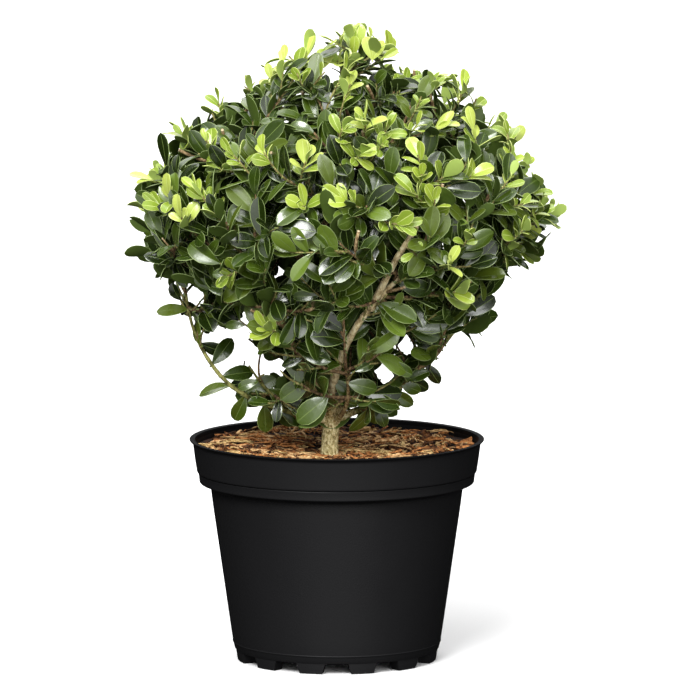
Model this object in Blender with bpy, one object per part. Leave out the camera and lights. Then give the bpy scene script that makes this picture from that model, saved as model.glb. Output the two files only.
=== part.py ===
"""A Japanese holly shrub grown to a loose ball, standing in a black nursery pot.

Metres, +Z up. The origin is on the pot's axis, at the surface that the pot stands on.
The shrub's front faces -Y, and its left is -X. Azimuths are degrees round +Z from +X.
"""

import math
import random

import bmesh
import bpy
from mathutils import Vector
from mathutils.bvhtree import BVHTree

UP = Vector((0, 0, 1))
GAP = 0.0003  # between two pieces that meet

# Pot
POT_HEIGHT = 0.1434
POT_SEGMENTS = 36
WALL = 0.0016
LIP_RADIUS = 0.0950
LIP_DEPTH = 0.0018
LIP_ROUND = 0.0004
BAND_TOP_RADIUS = 0.0928
BAND_TOP = 0.1412
BAND_FOOT_RADIUS = 0.0891
SHOULDER_ROUND = 0.0042
SHOULDER_SWEEP = 60  # degrees that the shoulder's curve turns through
SHOULDER_TOP = 0.1170
SHOULDER_STEPS = 3
BODY_TOP_RADIUS = 0.0813
BODY_TOP = 0.1096
HEEL_RADIUS = 0.0672
HEEL = 0.0115
HEEL_BEVEL = 0.0009  # inside, between the wall and the floor
BASE_RADIUS = 0.0658
BASE_THICKNESS = 0.0020
FEET = 12
FOOT_HEIGHT = 0.0067
FOOT_RADIUS = 0.0646
FOOT_DEPTH = 0.0080
FOOT_ANGLE = 13.5
FOOT_FLARE = 1.6  # degrees that each side of a foot gains at its top
FOOT_INSET = 0.0001  # from the top of a foot to the edge of the base
DRAINS = 6
DRAIN_RADIUS = 0.0050
DRAIN_CIRCLE = 0.0400
DRAIN_SIDES = 10

# Soil, filled to just under the lip and lower round the trunk
SOIL_SEGMENTS = 18
SOIL_EDGE = 0.1388
SOIL_MIDDLE = 0.1330
SOIL_SLOPE = ((0.070, 0.1372), (0.045, 0.1346), (0.020, SOIL_MIDDLE))  # radius and height

# Trunk, from the soil to its fork
TRUNK_FOOT = Vector((-0.0044, -0.0150, SOIL_MIDDLE + GAP))
TRUNK_TOP = Vector((-0.0010, -0.0120, 0.1640))
TRUNK_RADIUS = 0.0054
TRUNK_TOP_RADIUS = 0.0050
TRUNK_BEND = -0.0016
TRUNK_SIDES = 12
TRUNK_RINGS = 8
RING_CROWDING = 1.4  # above 1, the rings are closer together at the foot
FLARE = 0.0008  # what the root flare adds to the radius at the soil
FLARE_HEIGHT = 0.0050
FLARE_LOBES = 4
LOBE_DEPTH = 0.6  # share of the flare that is only there on the lobes
LOBE_TURN = 0.6

# Boughs. Each one leaves its parent at a share of the parent's length and runs on to the
# middle of its own mass of leaves. bow is how far its course sags below the straight line,
# and swing how far it goes round to its left.
# name, parent, share, azimuth, distance from the axis, height, bow, swing, radius
LIMBS = (
    ("top", "trunk", 0.96, 80, 0.012, 0.366, 0.000, 0.020, 0.0042),
    ("front_right", "trunk", 0.92, 300, 0.096, 0.266, 0.006, -0.046, 0.0034),
    ("left", "trunk", 0.82, 182, 0.098, 0.258, 0.066, 0.012, 0.0031),
    ("right", "trunk", 0.78, 0, 0.098, 0.262, 0.036, -0.006, 0.0033),
    ("back_left", "trunk", 0.90, 120, 0.098, 0.262, 0.022, 0.012, 0.0033),
    ("back_right", "trunk", 0.86, 62, 0.098, 0.260, 0.026, -0.010, 0.0033),
    ("front_left", "trunk", 0.88, 240, 0.098, 0.264, 0.024, 0.014, 0.0032),
    ("upper_left", "top", 0.42, 200, 0.068, 0.328, 0.014, 0.006, 0.0028),
    ("upper_front", "top", 0.34, 285, 0.068, 0.330, 0.016, -0.006, 0.0028),
    ("upper_right", "top", 0.46, 15, 0.070, 0.328, 0.014, 0.006, 0.0028),
    ("upper_back", "top", 0.38, 108, 0.068, 0.328, 0.016, -0.006, 0.0028),
    ("low_left", "left", 0.12, 205, 0.062, 0.194, 0.004, -0.010, 0.0021),
    ("low_front", "trunk", 0.70, 275, 0.064, 0.198, 0.010, 0.008, 0.0023),
    ("low_right", "right", 0.12, 335, 0.062, 0.196, 0.004, 0.006, 0.0021),
    ("low_back", "back_right", 0.12, 90, 0.064, 0.196, 0.006, -0.006, 0.0021),
)
LIMB_SIDES = 6
LIMB_STEP = 0.018
LIMB_TAPER = 0.40  # share of a limb's radius that is left at its far end
ENTRY = 0.006  # how far inside its mass's space a bough ends
ENTRY_STEP = 0.01
LAST_ENTRY = 0.9
STEM = 0.034  # from there to the middle of the mass, at most
SPLIT_AT_BEND = {"left": 0.55}

# Crown: its reach to the left and to the right of the axis, by height
CROWN = (
    (0.147, 0.040, 0.036),
    (0.162, 0.071, 0.058),
    (0.185, 0.086, 0.074),
    (0.212, 0.099, 0.098),
    (0.240, 0.117, 0.114),
    (0.266, 0.133, 0.133),
    (0.288, 0.138, 0.143),
    (0.312, 0.132, 0.137),
    (0.338, 0.119, 0.121),
    (0.362, 0.094, 0.102),
    (0.386, 0.056, 0.074),
    (0.402, 0.032, 0.042),
    (0.4155, 0.006, 0.012),
)
CROWN_CORE = Vector((0, 0, 0.268))

# Shoots that reach right out to the crown's outline: azimuth and height
LEADERS = ((180, 0.288), (0, 0.288), (-98, 0.288), (97, 0.288), (0, 0.4155))

# Twigs
SEED = 41
CANDIDATES = 2600
NARROW_FAVOUR = 0.04  # added to the crown's reach, so that its narrow top gets enough twigs
TWIGS = 92
LEAST_TWIGS = 7
TWIG_INSET = 0.022  # from a twig's tip to the crown's outline
TWIG_RADIUS = 0.0013
TWIG_TIP_RADIUS = 0.0007
TWIG_SIDES = 3
TWIG_POINTS = 3
TWIG_SAG = 0.16  # of its length
TWIG_CLIMB = 0.020  # from where a twig leaves its stem up to its tip
STEM_SIDES = 4
STEM_SHARES = (0.15, 0.85, 0.97)  # of a stem: its lowest twig, its highest, and the limit

# Leaves, fewer and larger than life and even on all sides
LEAVES_ON_TWIG = 6
FIRST_LEAF = 0.24  # share of a twig's length at which its leaves begin
LAST_LEAF = 0.985
OTHER_DRAWS = {"front_right": 1}  # where the first draw's leaves pinch each other
LEAF_LENGTH = 0.041
LEAF_LENGTHS = (0.90, 1.08)  # of that length, where there is room
LEAF_SHORTEST = 0.70  # of that length, where there is less
LEAF_TRIM = 0.001
LEAF_WIDTH = 0.56  # of the length
LEAF_WIDEST = 0.55  # share of the length from its root
LEAF_THICKNESS = 0.034  # of the length
LEAF_FOLD = 0.05  # of the length, the rise of its sides
LEAF_DROOP = 0.10  # of the length, the fall of its tip
LEAF_SINK = 0.0004
LEAF_TRIES = 14
LATE_SHORTENING = 0.25  # what the last try's leaf loses of its length
GOLDEN_ANGLE = math.radians(137.5)
SIDE_SPREAD = (0.65, 1.20)  # radians between a leaf and its twig
END_SPREAD = (0.15, 0.60)
LEAF_ROLL = 0.8  # radians either way that a leaf is turned about its length
SUN_RISE = 0.6  # how far upwards, against outwards, the leaves face
END_RISE = 0.9
TIP_FACING = 0.7  # how far they face their twig's tip
JUST_INSIDE = 0.999

# Clearances
SPACE_MARGIN = 0.0004  # from a mass to the middle of the gap between two masses
LIMB_CLEARANCE = 0.0006  # from a twig or leaf to a limb
CUT_CLEARANCE = 0.00036  # from a limb to the limb that it leaves


def clear_scene():
    for obj in list(bpy.data.objects):
        bpy.data.objects.remove(obj, do_unlink=True)


def make_material(name, colour, roughness):
    material = bpy.data.materials.new(name)
    material.use_nodes = True
    shader = material.node_tree.nodes["Principled BSDF"]
    shader.inputs["Base Color"].default_value = (*colour, 1)
    shader.inputs["Roughness"].default_value = roughness
    shader.inputs["Metallic"].default_value = 0
    material.diffuse_color = (*colour, 1)
    return material


def plastic_material():
    return make_material("pot_plastic", (0.012, 0.012, 0.013), 0.42)


def mulch_material():
    return make_material("bark_mulch", (0.13, 0.062, 0.024), 0.95)


def bark_material(limb):
    return make_material(f"bark_{limb}", (0.33, 0.26, 0.15), 0.85)


def leaf_material(mass):
    return make_material(f"leaf_{mass}", (0.045, 0.085, 0.022), 0.35)


def make_object(name, shape, material=None):
    points, faces = shape
    mesh = bpy.data.meshes.new(name)
    mesh.from_pydata([tuple(point) for point in points], [], faces)
    mesh.validate()
    obj = bpy.data.objects.new(name, mesh)
    if material:
        mesh.materials.append(material)
    bpy.context.scene.collection.objects.link(obj)
    return obj


def turned(profile, segments):
    """A closed shape turned round Z. The profile runs from the axis, round and back to it."""
    points = [Vector((0, 0, profile[0][1]))]
    rings = []
    for radius, height in profile[1:-1]:
        rings.append(len(points))
        for i in range(segments):
            angle = math.tau * i / segments
            points.append(Vector((radius * math.cos(angle), radius * math.sin(angle), height)))
    points.append(Vector((0, 0, profile[-1][1])))
    last = len(points) - 1
    faces = []
    for i in range(segments):
        after = (i + 1) % segments
        faces.append((0, rings[0] + after, rings[0] + i))
        faces.append((last, rings[-1] + i, rings[-1] + after))
        for low, high in zip(rings, rings[1:]):
            faces.append((low + i, low + after, high + after, high + i))
    return points, faces


def ring_faces(rings, sides):
    """The faces of a closed tube whose points go round it ring by ring."""
    faces = [tuple(reversed(range(sides)))]
    for ring in range(rings - 1):
        low = ring * sides
        for i in range(sides):
            after = (i + 1) % sides
            faces.append((low + i, low + after, low + sides + after, low + sides + i))
    faces.append(tuple(range((rings - 1) * sides, rings * sides)))
    return faces


def tube(points, tangents, radii, sides):
    """A closed tube with flat ends, its rings square to the tangents."""
    side = tangents[0].orthogonal().normalized()
    verts = []
    for point, tangent, radius in zip(points, tangents, radii):
        side = square_to(side, tangent)
        other = tangent.cross(side)
        for i in range(sides):
            angle = math.tau * i / sides
            verts.append(point + (side * math.cos(angle) + other * math.sin(angle)) * radius)
    return verts, ring_faces(len(points), sides)


def square_to(direction, axis):
    return (direction - axis * direction.dot(axis)).normalized()


def combine(target, shapes, operation, solver="EXACT"):
    """Joins the shapes to the target, or cuts them from it, and keeps its one main body."""
    helpers = bpy.data.collections.new("helpers")
    bpy.context.scene.collection.children.link(helpers)
    for index, shape in enumerate(shapes):
        helper = make_object(f"helper_{index}", shape)
        bpy.context.scene.collection.objects.unlink(helper)
        helpers.objects.link(helper)
    boolean = target.modifiers.new(operation, "BOOLEAN")
    boolean.operation = operation
    boolean.operand_type = "COLLECTION"
    boolean.collection = helpers
    boolean.solver = solver
    graph = bpy.context.evaluated_depsgraph_get()
    result = bpy.data.meshes.new_from_object(target.evaluated_get(graph))
    target.modifiers.clear()
    target.data = result
    for helper in list(helpers.objects):
        bpy.data.objects.remove(helper, do_unlink=True)
    bpy.data.collections.remove(helpers)
    keep_main_body(target.data)


def keep_main_body(mesh):
    """Drops loose scraps, and the walls of sealed hollows, so that one solid is left."""
    bm = bmesh.new()
    bm.from_mesh(mesh)
    bmesh.ops.triangulate(bm, faces=bm.faces)
    left = set(bm.verts)
    bodies = []
    while left:
        body = {left.pop()}
        to_visit = list(body)
        while to_visit:
            vert = to_visit.pop()
            for edge in vert.link_edges:
                other = edge.other_vert(vert)
                if other in left:
                    left.discard(other)
                    body.add(other)
                    to_visit.append(other)
        bodies.append(body)
    main = max(bodies, key=signed_volume)
    for body in bodies:
        if body is not main:
            bmesh.ops.delete(bm, geom=list(body), context="VERTS")
    bm.to_mesh(mesh)
    bm.free()


def signed_volume(body):
    faces = {face for vert in body for face in vert.link_faces}
    corners = ([vert.co for vert in face.verts] for face in faces)
    return sum(a.dot(b.cross(c)) for a, b, c in corners) / 6


def shoulder_arc(radius):
    """The rounded step from the pot's body out to its band, from below upwards."""
    arc = []
    out = BAND_FOOT_RADIUS - SHOULDER_ROUND
    for i in range(SHOULDER_STEPS):
        angle = math.radians(SHOULDER_SWEEP * (i / (SHOULDER_STEPS - 1) - 1))
        arc.append((out + radius * math.cos(angle), SHOULDER_TOP + radius * math.sin(angle)))
    return arc


def pot_inside():
    """The pot's inner wall, from its floor to the foot of the lip."""
    floor = FOOT_HEIGHT + BASE_THICKNESS
    return [
        (HEEL_RADIUS - WALL - HEEL_BEVEL, floor),
        (HEEL_RADIUS - WALL, HEEL + HEEL_BEVEL),
        (BODY_TOP_RADIUS - WALL, BODY_TOP + WALL),
        *shoulder_arc(SHOULDER_ROUND - WALL)[1:],
        (BAND_TOP_RADIUS - WALL, BAND_TOP),
    ]


def pot_profile():
    outside = [
        (BASE_RADIUS, FOOT_HEIGHT),
        (HEEL_RADIUS, HEEL),
        (BODY_TOP_RADIUS, BODY_TOP),
        *shoulder_arc(SHOULDER_ROUND),
        (BAND_TOP_RADIUS, BAND_TOP),
        (LIP_RADIUS - LIP_ROUND, POT_HEIGHT - LIP_DEPTH),
        (LIP_RADIUS, POT_HEIGHT - LIP_DEPTH + LIP_ROUND),
        (LIP_RADIUS, POT_HEIGHT - LIP_ROUND),
        (LIP_RADIUS - LIP_ROUND, POT_HEIGHT),
        (BAND_TOP_RADIUS - WALL + LIP_ROUND, POT_HEIGHT),
    ]
    floor = FOOT_HEIGHT + BASE_THICKNESS
    return [(0, FOOT_HEIGHT), *outside, *reversed(pot_inside()), (0, floor)]


def foot_shape(azimuth):
    """One foot: a block that follows the pot's curve and widens upwards into its base."""
    points = []
    sunk = FOOT_HEIGHT + BASE_THICKNESS / 2
    levels = (
        (0, FOOT_RADIUS, FOOT_ANGLE / 2),
        (sunk, BASE_RADIUS - FOOT_INSET, FOOT_ANGLE / 2 + FOOT_FLARE),
    )
    for height, outer, half in levels:
        for radius, turn in (
            (outer, -half),
            (outer, 0),
            (outer, half),
            (FOOT_RADIUS - FOOT_DEPTH, half),
            (FOOT_RADIUS - FOOT_DEPTH, -half),
        ):
            points.append(polar(azimuth + turn, radius, height))
    return points, ring_faces(2, len(points) // 2)


def drain_shape(azimuth):
    middle = polar(azimuth, DRAIN_CIRCLE, 0)
    ends = [middle + UP * FOOT_HEIGHT / 2, middle + UP * (FOOT_HEIGHT + 2 * BASE_THICKNESS)]
    return tube(ends, [UP, UP], [DRAIN_RADIUS] * 2, DRAIN_SIDES)


def build_pot():
    pot = make_object("pot", turned(pot_profile(), POT_SEGMENTS), plastic_material())
    step = 360 / FEET
    combine(pot, [foot_shape(step * (i + 0.5)) for i in range(FEET)], "UNION")
    combine(pot, [drain_shape(360 * i / DRAINS) for i in range(DRAINS)], "DIFFERENCE")


def build_soil():
    """The filling, which follows the pot's inside."""
    side = [(radius - GAP, height + GAP) for radius, height in pot_inside()[:-1]]
    rise = (SOIL_EDGE - SHOULDER_TOP) / (BAND_TOP - SHOULDER_TOP)
    edge = BAND_FOOT_RADIUS + (BAND_TOP_RADIUS - BAND_FOOT_RADIUS) * rise - WALL - GAP
    profile = [(0, side[0][1]), *side, (edge, SOIL_EDGE), *SOIL_SLOPE, (0, SOIL_MIDDLE)]
    make_object("soil", turned(profile, SOIL_SEGMENTS), mulch_material())


def trunk_rings():
    """The trunk's ring points and radii. It rises upright and then leans to the right."""
    rings = []
    for i in range(TRUNK_RINGS):
        share = (i / (TRUNK_RINGS - 1)) ** RING_CROWDING
        point = TRUNK_FOOT.lerp(TRUNK_TOP, share)
        point.x += TRUNK_BEND * math.sin(math.pi * share)
        radius = TRUNK_RADIUS + (TRUNK_TOP_RADIUS - TRUNK_RADIUS) * share
        rings.append((point, radius))
    return rings


def trunk_shape(grown=0.0):
    verts = []
    rings = trunk_rings()
    rings[-1][0].z += grown
    for point, radius in rings:
        flare = FLARE * math.exp(-(point.z - TRUNK_FOOT.z) / FLARE_HEIGHT)
        for i in range(TRUNK_SIDES):
            angle = math.tau * i / TRUNK_SIDES
            lobe = 0.5 + 0.5 * math.cos(FLARE_LOBES * angle + LOBE_TURN)
            reach = radius + flare * (1 - LOBE_DEPTH + LOBE_DEPTH * lobe) + grown
            verts.append(point + Vector((math.cos(angle), math.sin(angle), 0)) * reach)
    return verts, ring_faces(TRUNK_RINGS, TRUNK_SIDES)


def polar(azimuth, distance, height):
    angle = math.radians(azimuth)
    return Vector((distance * math.cos(angle), distance * math.sin(angle), height))


def curve_point(course, share):
    start, middle, end = course
    return start * (1 - share) ** 2 + middle * 2 * share * (1 - share) + end * share**2


def curve_tangent(course, share):
    start, middle, end = course
    return ((middle - start) * (1 - share) + (end - middle) * share).normalized()


def bowed(start, end, bow, swing):
    """The course of a limb: its start, the point that draws it aside, and its end."""
    along = (end - start).normalized()
    below = square_to(Vector((along.x, along.y, 0)), along)
    aside = along.cross(below)
    return start, (start + end) / 2 + below * bow + aside * swing, end


def limb_courses():
    """Each limb's course, by name."""
    courses = {"trunk": (TRUNK_FOOT, (TRUNK_FOOT + TRUNK_TOP) / 2, TRUNK_TOP)}
    for name, parent, share, azimuth, distance, height, bow, swing, _ in LIMBS:
        start = curve_point(courses[parent], share)
        courses[name] = bowed(start, polar(azimuth, distance, height), bow, swing)
    return courses


def limb_radius(radius, share):
    return radius * (1 + (LIMB_TAPER - 1) * share)


def mass_centre(row):
    return polar(row[3], row[4], row[5])


def inside_by(point, name):
    """How far a point lies inside a mass's space, which is nearer to its middle than to others."""
    own = CENTRES[name]
    room = []
    for other_name, other in CENTRES.items():
        if other_name != name:
            away = (other - own).normalized()
            room.append(((own + other) / 2 - point).dot(away))
    return min(room)


def crown_reach(point):
    """The crown's reach from the axis at this point's height and on its side."""
    height = point.z
    if not CROWN[0][0] <= height <= CROWN[-1][0]:
        return 0.0
    rightness = 0.5 + 0.5 * math.cos(math.atan2(point.y, point.x))
    for low, high in zip(CROWN, CROWN[1:]):
        if height <= high[0]:
            share = (height - low[0]) / (high[0] - low[0])
            left = low[1] + (high[1] - low[1]) * share
            right = low[2] + (high[2] - low[2]) * share
            return left + (right - left) * rightness
    return 0.0


def in_crown(point):
    return math.hypot(point.x, point.y) <= crown_reach(point)


def entry_share(name, course):
    """The share of a limb's course at which it is well inside its mass's space."""
    share = 0.0
    while share < LAST_ENTRY:
        point = curve_point(course, share)
        if inside_by(point, name) >= ENTRY and (point - course[2]).length <= STEM:
            break
        share += ENTRY_STEP
    return share


def limb_shape(course, radius, first, last, grown=0.0, sides=LIMB_SIDES):
    length = (course[1] - course[0]).length + (course[2] - course[1]).length
    count = max(3, round(length * (last - first) / LIMB_STEP) + 1)
    shares = [first + (last - first) * i / (count - 1) for i in range(count)]
    points = [curve_point(course, share) for share in shares]
    tangents = [curve_tangent(course, share) for share in shares]
    radii = [limb_radius(radius, share) + grown for share in shares]
    return tube(points, tangents, radii, sides)


def tree_of(shape):
    return BVHTree.FromPolygons([tuple(point) for point in shape[0]], shape[1])


def build_limbs(courses):
    """Makes the trunk and the boughs, and gives their grown shapes, which leaves keep clear of."""
    make_object("trunk", trunk_shape(), bark_material("trunk"))
    cutters = [trunk_shape(CUT_CLEARANCE)]
    grown = Placed()
    grown.add(trunk_shape(LIMB_CLEARANCE))
    for row in LIMBS:
        name, radius = row[0], row[8]
        course = courses[name]
        last = entry_share(name, course)
        pieces = [(f"bough_{name}", 0.0, last)]
        if name in SPLIT_AT_BEND:
            bend = SPLIT_AT_BEND[name] * last
            after = bend + GAP / (course[2] - course[0]).length
            pieces = [(f"bough_{name}_low", 0.0, bend), (f"bough_{name}_high", after, last)]
        for label, begin, end in pieces:
            shape = limb_shape(course, radius, begin, end)
            bough = make_object(label, shape, bark_material(label))
            met = [other for other in cutters if tree_of(other).overlap(tree_of(shape))]
            if met:
                combine(bough, met, "DIFFERENCE")
        cutters.append(limb_shape(course, radius, 0.0, last, CUT_CLEARANCE))
        grown.add(limb_shape(course, radius, 0.0, last, LIMB_CLEARANCE))
    return grown


def leaf_shape(root, axis, up, length, droop=LEAF_DROOP):
    """A leaf of eight faces, pointed at both ends, folded a little upwards at its sides."""
    across = axis.cross(up).normalized() * length * LEAF_WIDTH / 2
    thick = up * length * LEAF_THICKNESS / 2
    rise = up * length * LEAF_FOLD
    middle = root + axis * length * LEAF_WIDEST
    points = [
        root - axis * LEAF_SINK,
        middle - across + rise,
        root + axis * length - up * length * droop,
        middle + across + rise,
        middle + thick,
        middle - thick,
    ]
    faces = [((i + 1) % 4, i, 4) for i in range(4)] + [(i, (i + 1) % 4, 5) for i in range(4)]
    return points, faces


def twig_tips():
    """Where each mass's twigs end: its leaders first, the rest spread evenly round them."""
    rng = random.Random(SEED)
    found = {row[0]: [] for row in LIMBS}
    low, high = CROWN[0][0], CROWN[-1][0]
    widest = max(max(row[1:]) for row in CROWN)
    while sum(map(len, found.values())) < CANDIDATES:
        azimuth, height = rng.uniform(-180, 180), rng.uniform(low, high)
        if rng.random() * widest < crown_reach(polar(azimuth, 1, height)) + NARROW_FAVOUR:
            add_tip(found, azimuth, height)
    leading = {row[0]: [] for row in LIMBS}
    for azimuth, height in LEADERS:
        add_tip(leading, azimuth, height)
    chosen = {}
    for name, tips in found.items():
        count = max(LEAST_TWIGS, round(TWIGS * len(tips) / CANDIDATES))
        chosen[name] = spread_out(tips, leading[name], CENTRES[name], count)
    return chosen


def add_tip(found, azimuth, height):
    """Adds a pair, of a twig's tip and the point of the outline ahead of it, to its mass."""
    edge = polar(azimuth, crown_reach(polar(azimuth, 1, height)), height)
    tip = edge + (CROWN_CORE - edge).normalized() * TWIG_INSET
    name = max(found, key=lambda mass: inside_by(tip, mass))
    if inside_by(tip, name) > 3 * TWIG_TIP_RADIUS:
        found[name].append((tip, edge))


def spread_out(tips, kept, middle, count):
    """Adds tips to those kept, each as far as can be from those before it."""
    kept = list(kept)
    before = [middle] + [tip for tip, _ in kept]
    room = [min((tip - other).length for other in before) for tip, _ in tips]
    while len(kept) < min(count, len(tips)):
        best = max(range(len(tips)), key=room.__getitem__)
        kept.append(tips[best])
        room = [min(old, (tip - kept[-1][0]).length) for old, (tip, _) in zip(room, tips)]
    return kept


def twig_course(stem, first, tip):
    """A twig leaves the stem below its tip's height and turns upwards on its way."""
    low, high = curve_point(stem, first).z, curve_point(stem, 1).z
    rise = (tip.z - TWIG_CLIMB - low) / max(high - low, TWIG_CLIMB / 2)
    lowest, highest, limit = STEM_SHARES
    share = first + (1 - first) * min(max(lowest + (highest - lowest) * rise, lowest), limit)
    start = curve_point(stem, share)
    length = (tip - start).length
    out = Vector((tip.x, tip.y, 0)).normalized()
    return start, (start + tip) / 2 + (out - UP) * length * TWIG_SAG, tip


def twig_shape(course):
    shares = [i / (TWIG_POINTS - 1) for i in range(TWIG_POINTS)]
    points = [curve_point(course, share) for share in shares]
    tangents = [curve_tangent(course, share) for share in shares]
    radii = [TWIG_RADIUS + (TWIG_TIP_RADIUS - TWIG_RADIUS) * share for share in shares]
    return tube(points, tangents, radii, TWIG_SIDES)


def ball_round(points):
    middle = sum(points, Vector()) / len(points)
    return middle, max((point - middle).length for point in points)


class Placed:
    """Shapes that others keep clear of, each with the ball that holds it."""

    def __init__(self):
        self.shapes = []
        self.near = []

    def add(self, shape):
        self.shapes.append(shape)
        self.near.append((*ball_round(shape[0]), tree_of(shape)))

    def meets(self, shape, tree, skipped=None):
        middle, reach = ball_round(shape[0])
        for index, (other, room, other_tree) in enumerate(self.near):
            if index != skipped and (other - middle).length < reach + room:
                if other_tree.overlap(tree):
                    return True
        return False


def kept_inside(points, name):
    return all(inside_by(point, name) > SPACE_MARGIN for point in points)


def grow_twigs(name, stem, first, tips, limbs):
    """The twigs that keep to their mass's space: each one's course, far edge and shape."""
    twigs = []
    for tip, edge in tips:
        course = twig_course(stem, first, tip)
        shape = twig_shape(course)
        if kept_inside(shape[0], name) and not limbs.meets(shape, tree_of(shape)):
            twigs.append((course, edge, shape))
    return twigs


def grow_leaves(rng, name, twigs, stem_shape, limbs):
    """Leaves on the twigs, from the tips inwards, that cross nothing but their own twig."""
    leaves, others = Placed(), Placed()
    for _, _, shape in twigs:
        others.add(shape)
    others.add(stem_shape)
    turns = [rng.uniform(0, math.tau) for _ in twigs]
    for rank in reversed(range(LEAVES_ON_TWIG)):
        share = FIRST_LEAF + (LAST_LEAF - FIRST_LEAF) * rank / (LEAVES_ON_TWIG - 1)
        for index, (course, edge, _) in enumerate(twigs):
            turn = turns[index] + rank * GOLDEN_ANGLE
            ahead = edge if rank == LEAVES_ON_TWIG - 1 else None
            for leaf in possible_leaves(rng, course, share, turn, ahead):
                if not all(in_crown(point) for point in leaf[0]):
                    continue
                tree = tree_of(leaf)
                if not kept_inside(leaf[0], name) or others.meets(leaf, tree, index):
                    continue
                if not limbs.meets(leaf, tree) and not leaves.meets(leaf, tree):
                    leaves.add(leaf)
                    break
    return leaves.shapes


def possible_leaves(rng, course, share, turn, edge):
    """Leaves that could grow here, the best first. The last on a twig points at the outline."""
    root = curve_point(course, share)
    tangent = curve_tangent(course, share)
    side = tangent.orthogonal().normalized()
    other = tangent.cross(side)
    outwards = (root - CROWN_CORE).normalized()
    if edge:
        reach = edge - root
        axis = reach.normalized()
        up = square_to(outwards + UP * END_RISE, axis)
        yield leaf_shape(root, axis, up, reach.length * JUST_INSIDE, 0)
    facing = tangent * TIP_FACING + (outwards + UP * SUN_RISE).normalized()
    for attempt in range(LEAF_TRIES):
        angle = turn + attempt * GOLDEN_ANGLE
        spread = rng.uniform(*END_SPREAD) if edge else rng.uniform(*SIDE_SPREAD)
        longest = LEAF_LENGTH * rng.uniform(*LEAF_LENGTHS)
        roll = rng.uniform(-LEAF_ROLL, LEAF_ROLL)
        out = side * math.cos(angle) + other * math.sin(angle)
        axis = (tangent * math.cos(spread) + out * math.sin(spread)).normalized()
        longest *= 1 - LATE_SHORTENING * attempt / LEAF_TRIES
        length = length_in_crown(root, axis, longest)
        if length:
            up = square_to(facing, axis)
            up = (up * math.cos(roll) + axis.cross(up) * math.sin(roll)).normalized()
            yield leaf_shape(root, axis, up, length)


def length_in_crown(root, axis, longest):
    """The length at which a leaf ends inside the crown's outline, or 0 if that is too short."""
    length = longest
    while not in_crown(root + axis * length):
        length -= LEAF_TRIM
        if length < LEAF_LENGTH * LEAF_SHORTEST:
            return 0
    return length


def build_mass(name, stem, first, radius, tips, limbs):
    """One mass: a stem, twigs that branch from it and leaves that branch from them."""
    rng = random.Random(f"{SEED} {name} {OTHER_DRAWS.get(name, 0)}")
    twigs = grow_twigs(name, stem, first, tips, limbs)
    stem_shape = limb_shape(stem, radius, first, 1.0, sides=STEM_SIDES)
    leaves = grow_leaves(rng, name, twigs, stem_shape, limbs)
    mass = make_object(f"leaves_{name}", stem_shape, leaf_material(name))
    combine(mass, [shape for _, _, shape in twigs] + leaves, "UNION", "MANIFOLD")


def build_shrub():
    courses = limb_courses()
    limbs = build_limbs(courses)
    tips = twig_tips()
    for row in LIMBS:
        name, radius = row[0], row[8]
        course = courses[name]
        first = entry_share(name, course) + GAP / (course[2] - course[0]).length
        build_mass(name, course, first, radius, tips[name], limbs)


CENTRES = {row[0]: mass_centre(row) for row in LIMBS}

clear_scene()
build_pot()
build_soil()
build_shrub()
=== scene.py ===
"""Looks of the potted Japanese holly shrub: leaves, twigs, bark, mulch and plastic pot."""

import itertools
import math
import random

import bpy
import numpy as np
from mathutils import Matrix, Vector, noise


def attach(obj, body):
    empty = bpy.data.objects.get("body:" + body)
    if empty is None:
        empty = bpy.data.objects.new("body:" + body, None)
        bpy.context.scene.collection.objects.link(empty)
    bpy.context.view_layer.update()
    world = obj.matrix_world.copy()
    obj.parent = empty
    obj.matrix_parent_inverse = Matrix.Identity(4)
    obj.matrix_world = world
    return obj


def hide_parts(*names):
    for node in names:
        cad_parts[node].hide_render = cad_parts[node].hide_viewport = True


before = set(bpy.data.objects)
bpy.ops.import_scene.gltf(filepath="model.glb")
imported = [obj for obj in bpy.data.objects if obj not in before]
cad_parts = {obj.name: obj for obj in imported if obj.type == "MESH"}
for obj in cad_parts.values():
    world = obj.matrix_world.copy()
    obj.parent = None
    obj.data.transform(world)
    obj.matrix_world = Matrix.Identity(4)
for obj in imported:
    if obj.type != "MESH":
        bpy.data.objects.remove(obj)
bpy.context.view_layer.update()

UP = Vector((0, 0, 1))
GOLDEN_ANGLE = math.radians(137.5)

# The source's values for the trunk, boughs, crown and main twigs
TRUNK_FOOT = Vector((-0.0044, -0.0150, 0.1333))
TRUNK_TOP = Vector((-0.0010, -0.0120, 0.1640))
TRUNK_RADIUS = 0.0054
TRUNK_TOP_RADIUS = 0.0050
TRUNK_BEND = -0.0016
FLARE = 0.0008
FLARE_HEIGHT = 0.0050
FLARE_LOBES = 4
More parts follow.
